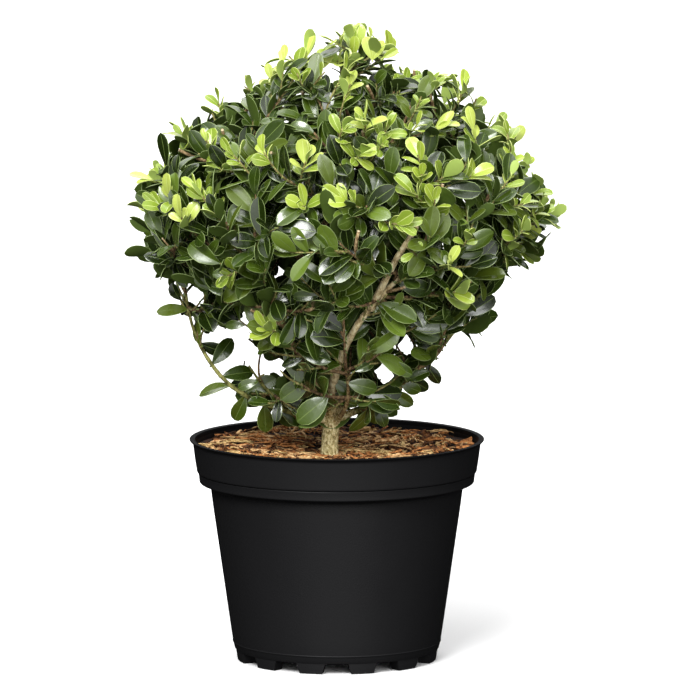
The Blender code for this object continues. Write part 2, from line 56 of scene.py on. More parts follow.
# Limb, its parent and the share of it where it starts, azimuth, distance and height of its end,
# bow, swing and radius
LIMBS = (
    ("top", "trunk", 0.96, 80, 0.012, 0.366, 0.000, 0.020, 0.0042),
    ("front_right", "trunk", 0.92, 300, 0.096, 0.266, 0.006, -0.046, 0.0034),
    ("left", "trunk", 0.82, 182, 0.098, 0.258, 0.066, 0.012, 0.0031),
    ("right", "trunk", 0.78, 0, 0.098, 0.262, 0.036, -0.006, 0.0033),
    ("back_left", "trunk", 0.90, 120, 0.098, 0.262, 0.022, 0.012, 0.0033),
    ("back_right", "trunk", 0.86, 62, 0.098, 0.260, 0.026, -0.010, 0.0033),
    ("front_left", "trunk", 0.88, 240, 0.098, 0.264, 0.024, 0.014, 0.0032),
    ("upper_left", "top", 0.42, 200, 0.068, 0.328, 0.014, 0.006, 0.0028),
    ("upper_front", "top", 0.34, 285, 0.068, 0.330, 0.016, -0.006, 0.0028),
    ("upper_right", "top", 0.46, 15, 0.070, 0.328, 0.014, 0.006, 0.0028),
    ("upper_back", "top", 0.38, 108, 0.068, 0.328, 0.016, -0.006, 0.0028),
    ("low_left", "left", 0.12, 205, 0.062, 0.194, 0.004, -0.010, 0.0021),
    ("low_front", "trunk", 0.70, 275, 0.064, 0.198, 0.010, 0.008, 0.0023),
    ("low_right", "right", 0.12, 335, 0.062, 0.196, 0.004, 0.006, 0.0021),
    ("low_back", "back_right", 0.12, 90, 0.064, 0.196, 0.006, -0.006, 0.0021),
)
BOUGH_NODES = {"left": ("bough_left_low", "bough_left_high")}
LIMB_TAPER = 0.40
ENTRY = 0.006
STEM = 0.034
CROWN = (
    (0.147, 0.040, 0.036),
    (0.162, 0.071, 0.058),
    (0.185, 0.086, 0.074),
    (0.212, 0.099, 0.098),
    (0.240, 0.117, 0.114),
    (0.266, 0.133, 0.133),
    (0.288, 0.138, 0.143),
    (0.312, 0.132, 0.137),
    (0.338, 0.119, 0.121),
    (0.362, 0.094, 0.102),
    (0.386, 0.056, 0.074),
    (0.402, 0.032, 0.042),
    (0.4155, 0.006, 0.012),
)
CROWN_CORE = Vector((0, 0, 0.268))
LEADERS = ((180, 0.288), (0, 0.288), (-98, 0.288), (97, 0.288), (0, 0.4155))
SEED = 41
CANDIDATES = 2600
NARROW_FAVOUR = 0.04
TWIGS = 92
LEAST_TWIGS = 7
TWIG_INSET = 0.022
TWIG_RADIUS = 0.0013
TWIG_TIP_RADIUS = 0.0007
TWIG_SAG = 0.16
TWIG_CLIMB = 0.020
STEM_SHARES = (0.15, 0.85, 0.97)


# The source's rule


def polar(azimuth, distance, height):
    angle = math.radians(azimuth)
    return Vector((distance * math.cos(angle), distance * math.sin(angle), height))


def square_to(direction, axis):
    return (direction - axis * direction.dot(axis)).normalized()


def curve_point(course, share):
    start, middle, end = course
    return start * (1 - share) ** 2 + middle * 2 * share * (1 - share) + end * share**2


def curve_tangent(course, share):
    start, middle, end = course
    return ((middle - start) * (1 - share) + (end - middle) * share).normalized()


def bowed(start, end, bow, swing):
    along = (end - start).normalized()
    below = square_to(Vector((along.x, along.y, 0)), along)
    aside = along.cross(below)
    return start, (start + end) / 2 + below * bow + aside * swing, end


def limb_courses():
    courses = {"trunk": (TRUNK_FOOT, (TRUNK_FOOT + TRUNK_TOP) / 2, TRUNK_TOP)}
    for name, parent, share, azimuth, distance, height, bow, swing, _ in LIMBS:
        start = curve_point(courses[parent], share)
        courses[name] = bowed(start, polar(azimuth, distance, height), bow, swing)
    return courses


CENTRES = {row[0]: polar(row[3], row[4], row[5]) for row in LIMBS}
MASSES = [f"leaves_{name}" for name in CENTRES]


def inside_by(point, name):
    own = CENTRES[name]
    room = []
    for other_name, other in CENTRES.items():
        if other_name != name:
            away = (other - own).normalized()
            room.append(((own + other) / 2 - point).dot(away))
    return min(room)


HEIGHTS, LEFTS, RIGHTS = (np.array(column) for column in zip(*CROWN))


def crown_reach(x, y, z):
    """The crown's reach from the axis at these points' heights and on their side."""
    rightness = 0.5 + 0.5 * np.cos(np.arctan2(y, x))
    left = np.interp(z, HEIGHTS, LEFTS, 0, 0)
    right = np.interp(z, HEIGHTS, RIGHTS, 0, 0)
    return left + (right - left) * rightness


def entry_share(name, course):
    share = 0.0
    while share < 0.9:
        point = curve_point(course, share)
        if inside_by(point, name) >= ENTRY and (point - course[2]).length <= STEM:
            break
        share += 0.01
    return share


def twig_tips():
    rng = random.Random(SEED)
    found = {name: [] for name in CENTRES}
    low, high = CROWN[0][0], CROWN[-1][0]
    widest = max(max(row[1:]) for row in CROWN)
    while sum(map(len, found.values())) < CANDIDATES:
        azimuth, height = rng.uniform(-180, 180), rng.uniform(low, high)
        if rng.random() * widest < crown_reach(*polar(azimuth, 1, height)) + NARROW_FAVOUR:
            add_tip(found, azimuth, height)
    leading = {name: [] for name in CENTRES}
    for azimuth, height in LEADERS:
        add_tip(leading, azimuth, height)
    chosen = {}
    for name, tips in found.items():
        count = max(LEAST_TWIGS, round(TWIGS * len(tips) / CANDIDATES))
        chosen[name] = spread_out(tips, leading[name], CENTRES[name], count)
    return chosen


def add_tip(found, azimuth, height):
    edge = polar(azimuth, float(crown_reach(*polar(azimuth, 1, height))), height)
    tip = edge + (CROWN_CORE - edge).normalized() * TWIG_INSET
    name = max(found, key=lambda mass: inside_by(tip, mass))
    if inside_by(tip, name) > 3 * TWIG_TIP_RADIUS:
        found[name].append(tip)


def spread_out(tips, kept, middle, count):
    """Adds tips to those kept, each as far as can be from those before it."""
    kept = list(kept)
    before = [middle] + kept
    room = [min((tip - other).length for other in before) for tip in tips]
    while len(kept) < min(count, len(tips)):
        best = max(range(len(tips)), key=room.__getitem__)
        kept.append(tips[best])
        room = [min(old, (tip - kept[-1]).length) for old, tip in zip(room, tips)]
    return kept


def twig_course(stem, first, tip):
    low, high = curve_point(stem, first).z, curve_point(stem, 1).z
    rise = (tip.z - TWIG_CLIMB - low) / max(high - low, TWIG_CLIMB / 2)
    lowest, highest, limit = STEM_SHARES
    share = first + (1 - first) * min(max(lowest + (highest - lowest) * rise, lowest), limit)
    start = curve_point(stem, share)
    length = (tip - start).length
    out = Vector((tip.x, tip.y, 0)).normalized()
    return start, (start + tip) / 2 + (out - UP) * length * TWIG_SAG, tip


# Meshes

ASIDE = (0.31, 0.72, 0.62)  # runs along no limb or twig
END_SHRINK = 0.02


def in_scene(name, data):
    """A new object with this data, in the scene."""
    made = bpy.data.objects.new(name, data)
    bpy.context.scene.collection.objects.link(made)
    return made


class Pile:
    """Quads gathered from many small shapes, to be made into one piece."""

    def __init__(self):
        self.points, self.quads, self.slots, self.count = [], [], [], 0

    def add(self, points, quads, slot):
        self.points.append(points)
        self.quads.append(quads + self.count)
        self.slots.append(np.broadcast_to(slot, len(quads)))
        self.count += len(points)

    def make(self, name, materials, replaced, slot, smooth=True, crease=None):
        points = np.concatenate(self.points).astype(np.float32)
        quads = np.concatenate(self.quads).astype(np.int32)
        mesh = bpy.data.meshes.new(name)
        mesh.vertices.add(len(points))
        mesh.vertices.foreach_set("co", points.ravel())
        mesh.loops.add(quads.size)
        mesh.loops.foreach_set("vertex_index", quads.ravel())
        mesh.polygons.add(len(quads))
        mesh.polygons.foreach_set("loop_start", np.arange(0, quads.size, 4, dtype=np.int32))
        mesh.polygons.foreach_set("material_index", np.concatenate(self.slots).astype(np.int32))
        mesh.polygons.foreach_set("use_smooth", np.full(len(quads), smooth))
        mesh.update(calc_edges=True)
        if crease is not None:
            mesh.set_sharp_from_angle(angle=math.radians(crease))
        for material in materials:
            mesh.materials.append(material)
        piece = in_scene(name, mesh)
        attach(piece, "root")
        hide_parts(*replaced)


def ring_quads(rings, sides):
    """Quads of a tube whose points go round it ring by ring."""
    row = np.arange(sides)
    after = (row + 1) % sides
    one = np.stack([row, after, after + sides, row + sides], 1)
    return (one[None] + np.arange(rings - 1)[:, None, None] * sides).reshape(-1, 4)


def unit(vectors):
    return vectors / np.maximum(np.linalg.norm(vectors, axis=-1, keepdims=True), 1e-12)


def tube_sides(points):
    """Two directions square to a course at each point, carried along it without twisting."""
    tangents = unit(np.gradient(points, axis=0))
    side = np.cross(tangents[0], ASIDE)
    sides = []
    for tangent in tangents:
        side = side - tangent * side.dot(tangent)
        side = side / np.linalg.norm(side)
        sides.append(side)
    sides = np.array(sides)
    return sides, np.cross(tangents, sides)


def tube(points, radii, sides, relief=None):
    """A tube closed at both ends by rings that shrink to almost nothing."""
    points, side, other = (
        np.concatenate([row[:1], row, row[-1:]]) for row in (points, *tube_sides(points))
    )
    radii = np.concatenate([[radii[0] * END_SHRINK], radii, [radii[-1] * END_SHRINK]])
    angles = np.arange(sides) * math.tau / sides
    reach = np.repeat(radii[:, None], sides, 1)
    if relief is not None:
        reach[1:-1] *= relief
    ring = side[:, None] * np.cos(angles)[:, None] + other[:, None] * np.sin(angles)[:, None]
    verts = points[:, None] + ring * reach[..., None]
    return verts.reshape(-1, 3), ring_quads(len(points), sides)


def course_points(course, step, least=4):
    """Shares of a course, and its points there, about a step apart."""
    start, middle, end = course
    length = (middle - start).length + (end - middle).length
    shares = np.linspace(0, 1, max(least, round(length / step) + 1))
    return shares, np.array([curve_point(course, float(share)) for share in shares])


def pick(rng, weights):
    """One of the numbers from 0, as often as its weight says."""
    return rng.choices(range(len(weights)), weights)[0]


# Materials


def set_inputs(owner, node, **inputs):
    """Gives a node's inputs these values, or links them to these sockets."""
    for name, value in inputs.items():
        socket = node.inputs[name.replace("_", " ")]
        if isinstance(value, bpy.types.NodeSocket):
            owner.node_tree.links.new(value, socket)
        else:
            socket.default_value = value


def add_node(owner, kind, **inputs):
    node = owner.node_tree.nodes.new(f"ShaderNode{kind}")
    set_inputs(owner, node, **inputs)
    return node


def shade(material, **inputs):
    set_inputs(material, material.node_tree.nodes["Principled BSDF"], **inputs)


def new_material(name, colour, roughness, specular):
    material = bpy.data.materials.new(name)
    material.use_nodes = True
    material.diffuse_color = (*colour, 1)
    shade(material, Base_Color=(*colour, 1), Roughness=roughness, Specular_IOR_Level=specular)
    return material


def srgb(red, green, blue):
    """Linear colour of an sRGB one given in 0 to 255."""
    return tuple(
        c / 12.92 if c <= 0.04045 else ((c + 0.055) / 1.055) ** 2.4
        for c in (red / 255, green / 255, blue / 255)
    )


def noise_node(material, scale, detail=3.0, stretch=(1, 1, 1), roughness=0.55):
    place = add_node(material, "TexCoord").outputs["Object"]
    place = add_node(material, "Mapping", Vector=place, Scale=stretch).outputs["Vector"]
    texture = add_node(
        material, "TexNoise", Vector=place, Scale=scale, Detail=detail, Roughness=roughness
    )
    return texture.outputs["Fac"]


def vary_roughness(material, factor, low, high):
    spread = add_node(
        material, "MapRange", Value=factor, From_Min=0.3, From_Max=0.7, To_Min=low, To_Max=high
    )
    shade(material, Roughness=spread.outputs["Result"])


def vary_colour(material, factor, *stops):
    """Colours a material by a factor. A stop is the factor and the sRGB colour there."""
    colours = add_node(material, "ValToRGB", Fac=factor)
    elements = colours.color_ramp.elements
    while len(elements) < len(stops):
        elements.new(0.5)
    for element, (place, colour) in zip(elements, stops):
        element.position = place
        element.color = (*srgb(*colour), 1)
    shade(material, Base_Color=colours.outputs["Color"])


def add_bump(material, factor, distance):
    bump = add_node(material, "Bump", Height=factor, Distance=distance)
    shade(material, Normal=bump.outputs["Normal"])


def leaf_material(name, colour, low, high, specular):
    """A waxy leaf: its gloss varies slowly, its surface is finely uneven."""
    material = new_material(name, srgb(*colour), (low + high) / 2, specular)
    shade(material, Specular_Tint=(0.98, 1, 0.97, 1))
    vary_roughness(material, noise_node(material, 90, 1.0), low, high)
    add_bump(material, noise_node(material, 330, 2.0), 0.00012)
    return material


def bark_material(name, dark, middle, light, scale=420, depth=0.0006):
    material = new_material(name, srgb(*middle), 0.85, 0.25)
    grain = noise_node(material, scale, 5.0, (1, 1, 0.55), 0.65)
    vary_colour(material, grain, (0.38, dark), (0.50, middle), (0.62, light))
    vary_roughness(material, grain, 0.70, 0.95)
    add_bump(material, grain, depth)
    return material


def cut_material():
    material = new_material("cut_wood", srgb(206, 186, 150), 0.8, 0.25)
    grain = noise_node(material, 900)
    vary_colour(material, grain, (0.35, (176, 148, 112)), (0.65, (220, 204, 170)))
    add_bump(material, grain, 0.0003)
    return material


def plastic_material(name, colour, specular):
    material = new_material(name, srgb(*colour), 0.5, specular)
    vary_roughness(material, noise_node(material, 38, 4.0, (1, 1, 0.6)), 0.38, 0.48)
    add_bump(material, noise_node(material, 900, 2.0), 0.00008)
    return material


def chip_material(name, dark, light):
    material = new_material(name, srgb(*light), 0.9, 0.2)
    grain = noise_node(material, 380, 4.0)
    vary_colour(material, grain, (0.38, dark), (0.62, light))
    add_bump(material, grain, 0.0005)
    return material


# Pot

POT_SIDES = 144
# Rings above this height take the lip's plastic, painted darker as shade
LIP_UNDERSIDE = 0.1416
FEET = 12
FOOT_HEIGHT = 0.0067
FOOT_INNER = 0.0566
# A foot's rings: height, outer radius, half its width in degrees
FOOT_RINGS = ((0, 0.0640, 6.45), (0.0005, 0.0646, 6.75), (0.0060, 0.0654, 8.1), (0.0078, 0.0655, 8.6))
FOOT_STEPS = np.array([-1, -0.92, -0.5, 0, 0.5, 0.92, 1])


def arc(centre_radius, centre_height, radius, first, last, steps):
    turns = np.radians(np.linspace(first, last, steps))
    return [
        (centre_radius + radius * math.cos(t), centre_height + radius * math.sin(t)) for t in turns
    ]


def level_arc(radius, height, turns):
    return [(radius * math.cos(t), radius * math.sin(t), height) for t in turns]


def pot_profile():
    """The pot's outline from under its base, up its outside, over the lip and down inside."""
    outside = [(0.0648, FOOT_HEIGHT), (0.0656, 0.0069), (0.0661, 0.0076), (0.0668, 0.0106)]
    outside += arc(0.0669, 0.0119, 0.0005, -60, 60, 5)
    outside += [(0.0673, 0.0130), (0.0685, 0.0210), (0.0714, 0.0410), (0.0758, 0.0716)]
    outside += [(0.0799, 0.1000), (0.0812, 0.1103), (0.0814, 0.1120), (0.0818, 0.1128)]
    outside += [(0.0828, 0.1134), (0.0856, 0.1143), *arc(0.0878, 0.1162, 0.0009, -76, -8, 5)]
    outside += [(0.0887, 0.1167), (0.0892, 0.1208), (0.0893, 0.1212)]
    outside += [(0.0891, 0.1216), (0.0883, 0.1219), (0.0884, 0.1223)]
    outside += [(0.0901, 0.1224), (0.0903, 0.1228), (0.0904, 0.1236)]
    outside += [(0.0913, 0.1292), (0.0927, 0.1398), (0.0929, 0.1409), (0.0934, 0.1415)]
    outside += [(0.0941, 0.1419), (0.0946, 0.1424), *arc(0.0946, 0.1430, 0.0004, -30, 90, 6)]
    outside += [(0.0922, 0.1434), (0.0915, 0.1431), (0.0912, 0.1424)]
    inside = [(0.0911, 0.1405), (0.0897, 0.1300), (0.0876, 0.1192)]
    return outside + inside


def foot_shape(azimuth):
    """One foot, wider at its top, with softened corners."""
    rings = []
    for height, outer, half in FOOT_RINGS:
        turns = np.radians(azimuth + FOOT_STEPS * half)
        rings.append(level_arc(outer, height, turns) + level_arc(FOOT_INNER, height, turns[::-1]))
    steps = len(FOOT_STEPS)
    around = 2 * steps
    under = [[i + 1, i, around - 1 - i, around - 2 - i] for i in range(steps - 1)]
    return np.array(rings).reshape(-1, 3), np.concatenate([ring_quads(len(rings), around), under])


def build_pot():
    pile = Pile()
    rings = [(0.0001, FOOT_HEIGHT), *pot_profile()]
    angles = np.arange(POT_SIDES) * math.tau / POT_SIDES
    points = np.array([level_arc(radius, height, angles) for radius, height in rings])
    # The lip's rings get a darker, less glossy plastic: painted shade on the lip's top and edges
    painted_dark_lip = np.array([height > LIP_UNDERSIDE for _, height in rings[:-1]], int)
    quads = ring_quads(len(rings), POT_SIDES)
    pile.add(points.reshape(-1, 3), quads, np.repeat(painted_dark_lip, POT_SIDES))
    for i in range(FEET):
        pile.add(*foot_shape(360 / FEET * (i + 0.5)), 0)
    plastics = [
        plastic_material("pot_plastic", (24, 24, 25), 0.115),
        # Painted shade: the lip's plastic is darker than the pot's own
        plastic_material("pot_plastic_lip_painted_shade", (19, 19, 20), 0.04),
    ]
    pile.make("pot_shell", plastics, ["pot"], "pot_plastic", crease=38)


# Mulch

BED_RADIUS = 0.0902
# Materials of the bed, and of the chips and fibres on it: name, darkest and lightest colour
CRUMB = ("mulch_crumb", (14, 8, 5), (54, 32, 18))
MULCH = (
    ("mulch_dark", (30, 18, 10), (110, 70, 40)),
    ("mulch_red", (106, 64, 34), (204, 138, 80)),
    ("mulch_tan", (154, 112, 68), (242, 202, 146)),
    ("mulch_straw", (132, 102, 56), (222, 190, 130)),
)
CHIPS = 620
LOOSE_STRIPS = 26
CLUMPS = 340
CHIP_RINGS = 5
STRAND_POINTS = 5
# How often each material comes, on the chips, the strips and the clumps of fibres
CHIP_WEIGHTS = (42, 32, 20, 6)
STRIP_WEIGHTS = (10, 26, 40, 24)
CLUMP_WEIGHTS = (22, 34, 28, 16)
# Long torn strips of bark: x, y, direction in degrees, length, width, material
STRIPS = (
    (-0.07, 0.012, 58, 0.044, 0.003, 3), (-0.074, 0.006, 63, 0.034, 0.0022, 3),
    (-0.062, 0.036, 30, 0.03, 0.003, 2), (-0.066, 0.025, 40, 0.026, 0.0024, 2),
    (-0.056, 0.008, 70, 0.024, 0.0036, 0), (0.044, 0.046, -42, 0.028, 0.0044, 3),
    (-0.022, -0.006, -38, 0.03, 0.003, 2), (-0.012, -0.028, -20, 0.018, 0.004, 1),
)


def bed_height(x, y):
    """The mulch's rough surface, a little lower round the trunk."""
    distance = math.hypot(x, y)
    slope = np.interp(distance, (0.020, 0.045, 0.070, 0.090), (0.1326, 0.1342, 0.1366, 0.1378))
    lumps = noise.noise(Vector((x * 60, y * 60, 3.1))) * 0.0014
    crumbs = noise.noise(Vector((x * 260, y * 260, 7.7))) * 0.0010
    return float(slope) + (lumps + crumbs) * (1 - (distance / BED_RADIUS) ** 6 * 0.6)


def build_bed():
    pile = Pile()
    rings, sides = 46, 132
    angles = np.arange(sides) * math.tau / sides
    points = []
    for radius in BED_RADIUS * (np.arange(rings) / (rings - 1)) ** 0.85:
        for x, y, _ in level_arc(max(radius, 0.0002), 0, angles):
            points.append((x, y, bed_height(x, y)))
    pile.add(np.array(points), ring_quads(rings, sides), 0)
    pile.make("mulch_bed", [chip_material(*CRUMB)], ["soil"], "bark_mulch")


def chip_shape(rng, length, width, thick):
    """A torn flake of bark: a flat block with uneven edges, thinner towards its ends."""
    points = []
    bend = rng.uniform(-0.25, 0.25)
    for k in range(CHIP_RINGS):
        t = k / (CHIP_RINGS - 1)
        taper = 0.35 + 0.65 * math.sin(math.pi * (0.12 + 0.76 * t)) * rng.uniform(0.75, 1.1)
        half, deep = width / 2 * taper, thick / 2 * (0.5 + 0.5 * taper)
        skew = rng.uniform(-0.15, 0.15) * width
        x = (t - 0.5) * length
        lift = bend * length * (t - 0.5) ** 2
        points += [
            (x, -half + skew, -deep + lift),
            (x, half + skew, -deep * rng.uniform(0.4, 1) + lift),
            (x, half * 0.85 + skew, deep + lift),
            (x, -half * 0.8 + skew, deep * rng.uniform(0.5, 1.1) + lift),
        ]
    last = len(points) - 1
    caps = [[3, 2, 1, 0], [last - 3, last - 2, last - 1, last]]
    return np.array(points), np.concatenate([ring_quads(CHIP_RINGS, 4), caps])


def spin(angle, first, second):
    """The matrix of a turn from one axis towards another."""
    matrix = np.eye(3)
    matrix[first, first] = matrix[second, second] = math.cos(angle)
    matrix[first, second], matrix[second, first] = -math.sin(angle), math.sin(angle)
    return matrix


def turned_about(points, yaw, pitch, roll):
    return points @ (spin(yaw, 0, 1) @ spin(pitch, 2, 0) @ spin(roll, 1, 2)).T


def build_mulch():
    build_bed()
    rng = random.Random("mulch")
    chips, fibres = Pile(), Pile()
    for _ in range(CHIPS):
        x, y = place_on_bed(rng, 0.004)
        length = rng.choice((0.005, 0.008, 0.011, 0.014)) * rng.uniform(0.8, 1.25)
        width = length * rng.uniform(0.14, 0.34)
        points, quads = chip_shape(rng, length, width, rng.uniform(0.0005, 0.0011))
        pitch = rng.gauss(0, 0.16)
        points = turned_about(points, rng.uniform(0, math.tau), pitch, rng.gauss(0, 0.5))
        points += (x, y, bed_height(x, y) + 0.0010 + abs(pitch) * length * 0.25)
        chips.add(keep_in_pot(points), quads, pick(rng, CHIP_WEIGHTS))
    for x, y, yaw, length, width, slot in STRIPS:
        add_strip(rng, chips, x, y, math.radians(yaw), length, width, slot)
    for _ in range(LOOSE_STRIPS):
        x, y = place_on_bed(rng, 0.012)
        length, yaw = rng.uniform(0.016, 0.030), rng.uniform(0, math.pi)
        width = rng.uniform(0.0014, 0.0028)
        add_strip(rng, chips, x, y, yaw, length, width, pick(rng, STRIP_WEIGHTS))
    for _ in range(CLUMPS):
        add_clump(rng, fibres)
    materials = [chip_material(*row) for row in MULCH]
    chips.make("mulch_chips", materials, ["soil"], "bark_mulch", smooth=False)
    fibres.make("mulch_fibres", materials, ["soil"], "bark_mulch")


def place_on_bed(rng, margin):
    radius = (BED_RADIUS - margin) * math.sqrt(rng.random())
    angle = rng.uniform(0, math.tau)
    return radius * math.cos(angle), radius * math.sin(angle)


def add_strip(rng, pile, x, y, yaw, length, width, slot):
    """One long flat strip that lies across the mulch."""
    points, quads = chip_shape(rng, length, width, 0.0006)
    points = turned_about(points, yaw, 0, rng.gauss(0, 0.3))
    tops = [bed_height(x + dx, y + dy) for dx, dy, _ in points]
    points += (x, y, sum(tops) / len(tops) + 0.0026)
    pile.add(keep_in_pot(points), quads, slot)


def add_clump(rng, pile):
    """A shred of bark: strands that run nearly side by side."""
    x, y = place_on_bed(rng, 0.006)
    yaw, bend = rng.uniform(0, math.tau), rng.gauss(0, 0.7)
    length, tone = rng.uniform(0.007, 0.020), pick(rng, CLUMP_WEIGHTS)
    lift, tip = rng.uniform(0.0004, 0.0022), rng.gauss(0, 0.10)
    for _ in range(rng.choice((3, 5, 6, 8))):
        aside = rng.gauss(0, 0.0016)
        slot = tone if rng.random() < 0.72 else rng.randrange(4)
        start = (x - math.sin(yaw) * aside, y + math.cos(yaw) * aside)
        pile.add(*strand_shape(
            rng, *start, yaw + rng.gauss(0, 0.16), bend + rng.gauss(0, 0.25),
            length * rng.uniform(0.6, 1.1), lift + rng.uniform(-0.0004, 0.0008), tip,
        ), slot)


def strand_shape(rng, x, y, yaw, bend, length, lift, tip):
    """One thin strand of bark, arched over the bed, with a tip that may stand up."""
    points = []
    shares = [k / (STRAND_POINTS - 1) for k in range(STRAND_POINTS)]
    for t in shares:
        heading = yaw + bend * (t - 0.5)
        if points:
            x += math.cos(heading) * length / (STRAND_POINTS - 1)
            y += math.sin(heading) * length / (STRAND_POINTS - 1)
        height = bed_height(x, y) + lift + math.sin(math.pi * t) * length * 0.06
        points.append((x, y, height + max(tip * (t - 0.5), 0) * length))
    thin = rng.random() < 0.7
    radius = rng.uniform(0.00022, 0.00040) if thin else rng.uniform(0.0004, 0.0009)
    radii = [radius * (0.5 + 0.5 * math.sin(math.pi * (0.1 + 0.8 * t))) for t in shares]
    return tube(keep_in_pot(np.array(points)), radii, 4)


def keep_in_pot(points):
    distance = np.hypot(points[:, 0], points[:, 1])
    shrink = np.minimum(1, (BED_RADIUS - 0.0006) / np.maximum(distance, 1e-6))
    points[:, :2] *= shrink[:, None]
    return points


# Bark

TRUNK_SIDES = 72
TRUNK_RINGS = 90
TRUNK_SUNK = 0.0030
TRUNK_LENGTH = 0.031
TRUNK_BARK = 0.014  # how far the trunk's pale bark reaches up a bough
FORKED = [row[0] for row in LIMBS if row[1] == "trunk"]
SLIMMER = {"left": 0.60, "right": 0.72, "low_left": 0.75, "low_front": 0.75}
BOUGH_SIDES = 14
WANDER_SEED = 5  # noise_vector would differ from run to run without one
# A short cut stub on the trunk's left
STUB = Vector((-0.0125, -0.0165, 0.1600))
STUB_SHARE = 0.72
STUB_RINGS = 9
# A pale stem that carries the front right bough on and shows among the leaves
PALE_STEM_SHARE = 0.74
PALE_STEM_MIDDLE = Vector((0.0337, -0.0949, 0.2655))
PALE_STEM_END = Vector((0.0505, -0.1100, 0.2940))
PALE_STEM_RADIUS = 0.0023
PALE_STEM_TAPER = 0.74
# Materials of the wood: name, darkest, middle and lightest colour, grain and its depth
TRUNK, BOUGH, PALE, CUT, GREEN = range(5)
BARKS = (
    ("bark_trunk", (122, 104, 60), (202, 184, 126), (246, 234, 188), 760, 0.0012),
    ("bark_bough", (78, 60, 38), (134, 112, 74), (176, 158, 112)),
    ("bark_pale", (150, 128, 90), (212, 192, 144), (236, 224, 184)),
    ("bark_green", (66, 66, 30), (112, 112, 58), (150, 148, 88)),
)
BOUGH_BARKS = {"front_right": PALE, "left": GREEN, "right": GREEN, "low_left": GREEN}


def bark_relief(metres, sides, seed, depth, around=2.6, along=130):
    """Share of the radius, by ring and side: lengthwise ridges with small lumps."""
    relief = np.ones((len(metres), sides))
    for i, height in enumerate(metres):
        for j in range(sides):
            angle = math.tau * j / sides
            x, y = math.cos(angle) * around, math.sin(angle) * around
            place = Vector((x, y, height * along + seed))
            fine = place * 2.7 + Vector((9.1, 2.3, height * along))
            relief[i, j] += depth * noise.noise(place) + depth * 0.6 * noise.noise(fine)
    return relief


def build_trunk(pile):
    shares = np.arange(TRUNK_RINGS) / (TRUNK_RINGS - 1)
    points, radii = [], []
    lobes = np.ones((TRUNK_RINGS, TRUNK_SIDES))
    for k, share in enumerate(shares):
        point = TRUNK_FOOT.lerp(TRUNK_TOP, float(share))
        point.x += TRUNK_BEND * math.sin(math.pi * share)
        point.z -= TRUNK_SUNK * (1 - share)
        radius = TRUNK_RADIUS + (TRUNK_TOP_RADIUS - TRUNK_RADIUS) * share
        flare = FLARE * math.exp(-(point.z - TRUNK_FOOT.z) / FLARE_HEIGHT)
        points.append(point)
        radii.append(radius)
        for j in range(TRUNK_SIDES):
            angle = math.tau * j / TRUNK_SIDES
            lobe = 0.5 + 0.5 * math.cos(FLARE_LOBES * angle + 0.6)
            lobes[k, j] += flare * (0.4 + 0.6 * lobe) / radius
    metres = shares * TRUNK_LENGTH
    relief = lobes * bark_relief(metres, TRUNK_SIDES, 1.7, 0.07)
    relief += bark_relief(metres, TRUNK_SIDES, 31.0, 0.07, 7.0, 520) - 1
    # A rounded top, hidden among the boughs
    points = np.array(points)
    points = np.concatenate([points, points[-1] + np.array([[0, 0, 0.0012], [0, 0, 0.0022]])])
    radii += [radii[-1] * 0.86, radii[-1] * 0.55]
    relief = np.concatenate([relief, relief[-1:], relief[-1:]])
    pile.add(*tube(points, radii, TRUNK_SIDES, relief), TRUNK)


def pale_stem(courses):
    return curve_point(courses["front_right"], PALE_STEM_SHARE), PALE_STEM_MIDDLE, PALE_STEM_END


def build_bough(pile, name, course, radius, slot, taper=LIMB_TAPER):
    """One bough with its stem, thicker where it leaves its parent, with scars and ridges."""
    shares, points = course_points(course, 0.0022, 12)
    steps = np.linalg.norm(np.diff(points, axis=0), axis=1)
    metres = np.concatenate([[0], np.cumsum(steps)])
    rng = random.Random(f"bough {name}")
    seed = rng.uniform(0, 50)
    radii = radius * (1 + (taper - 1) * shares) * (1 + 0.38 * np.exp(-metres / 0.006))
    scar = 0.006
    while scar < metres[-1]:
        radii *= 1 + 0.13 * np.exp(-(((metres - scar) / 0.0011) ** 2))
        scar += rng.uniform(0.007, 0.014)
    wander = np.array([noise.noise_vector(Vector((m * 26, seed, 0))) for m in metres]) * 0.0016
    points = points + wander * np.sin(np.pi * shares)[:, None]
    radii *= SLIMMER.get(name, 1.0)
    relief = bark_relief(metres, BOUGH_SIDES, seed, 0.09)
    verts, quads = tube(points, radii, BOUGH_SIDES, relief)
    ring = np.arange(len(quads)) // BOUGH_SIDES
    from_trunk = metres[np.clip(ring - 1, 0, len(metres) - 1)] < TRUNK_BARK
    pile.add(verts, quads, np.where(from_trunk & (name in FORKED), TRUNK, slot))


def build_stub(pile, courses):
    """A stub of a limb that was sawn off the trunk, with its cut end."""
    start = curve_point(courses["trunk"], STUB_SHARE)
    length = (STUB - start).length
    along = (STUB - start).normalized()
    points = np.array([start + along * d for d in np.linspace(0, length, STUB_RINGS)])
    relief = bark_relief(np.linspace(0, 0.01, STUB_RINGS), 24, 8.0, 0.08)
    pile.add(*tube(points, np.linspace(0.0034, 0.0028, STUB_RINGS), 24, relief), TRUNK)
    cut = np.array([points[-1] - along * 0.0002, points[-1] + along * 0.00025])
    pile.add(*tube(cut, [0.0026, 0.0024], 24), CUT)


def build_wood(courses):
    materials = [bark_material(*row) for row in BARKS]
    materials.insert(CUT, cut_material())
    trunk, boughs = Pile(), Pile()
    noise.seed_set(WANDER_SEED)
    build_trunk(trunk)
    build_stub(trunk, courses)
    trunk.make("trunk_bark", materials, ["trunk"], "bark")
    replaced = []
    for name, *_, radius in LIMBS:
        build_bough(boughs, name, courses[name], radius, BOUGH_BARKS.get(name, BOUGH))
        replaced += BOUGH_NODES.get(name, (f"bough_{name}",))
    build_bough(boughs, "pale_stem", pale_stem(courses), PALE_STEM_RADIUS, PALE, PALE_STEM_TAPER)
    boughs.make("boughs_bark", materials, replaced, "bark")


# Shoots

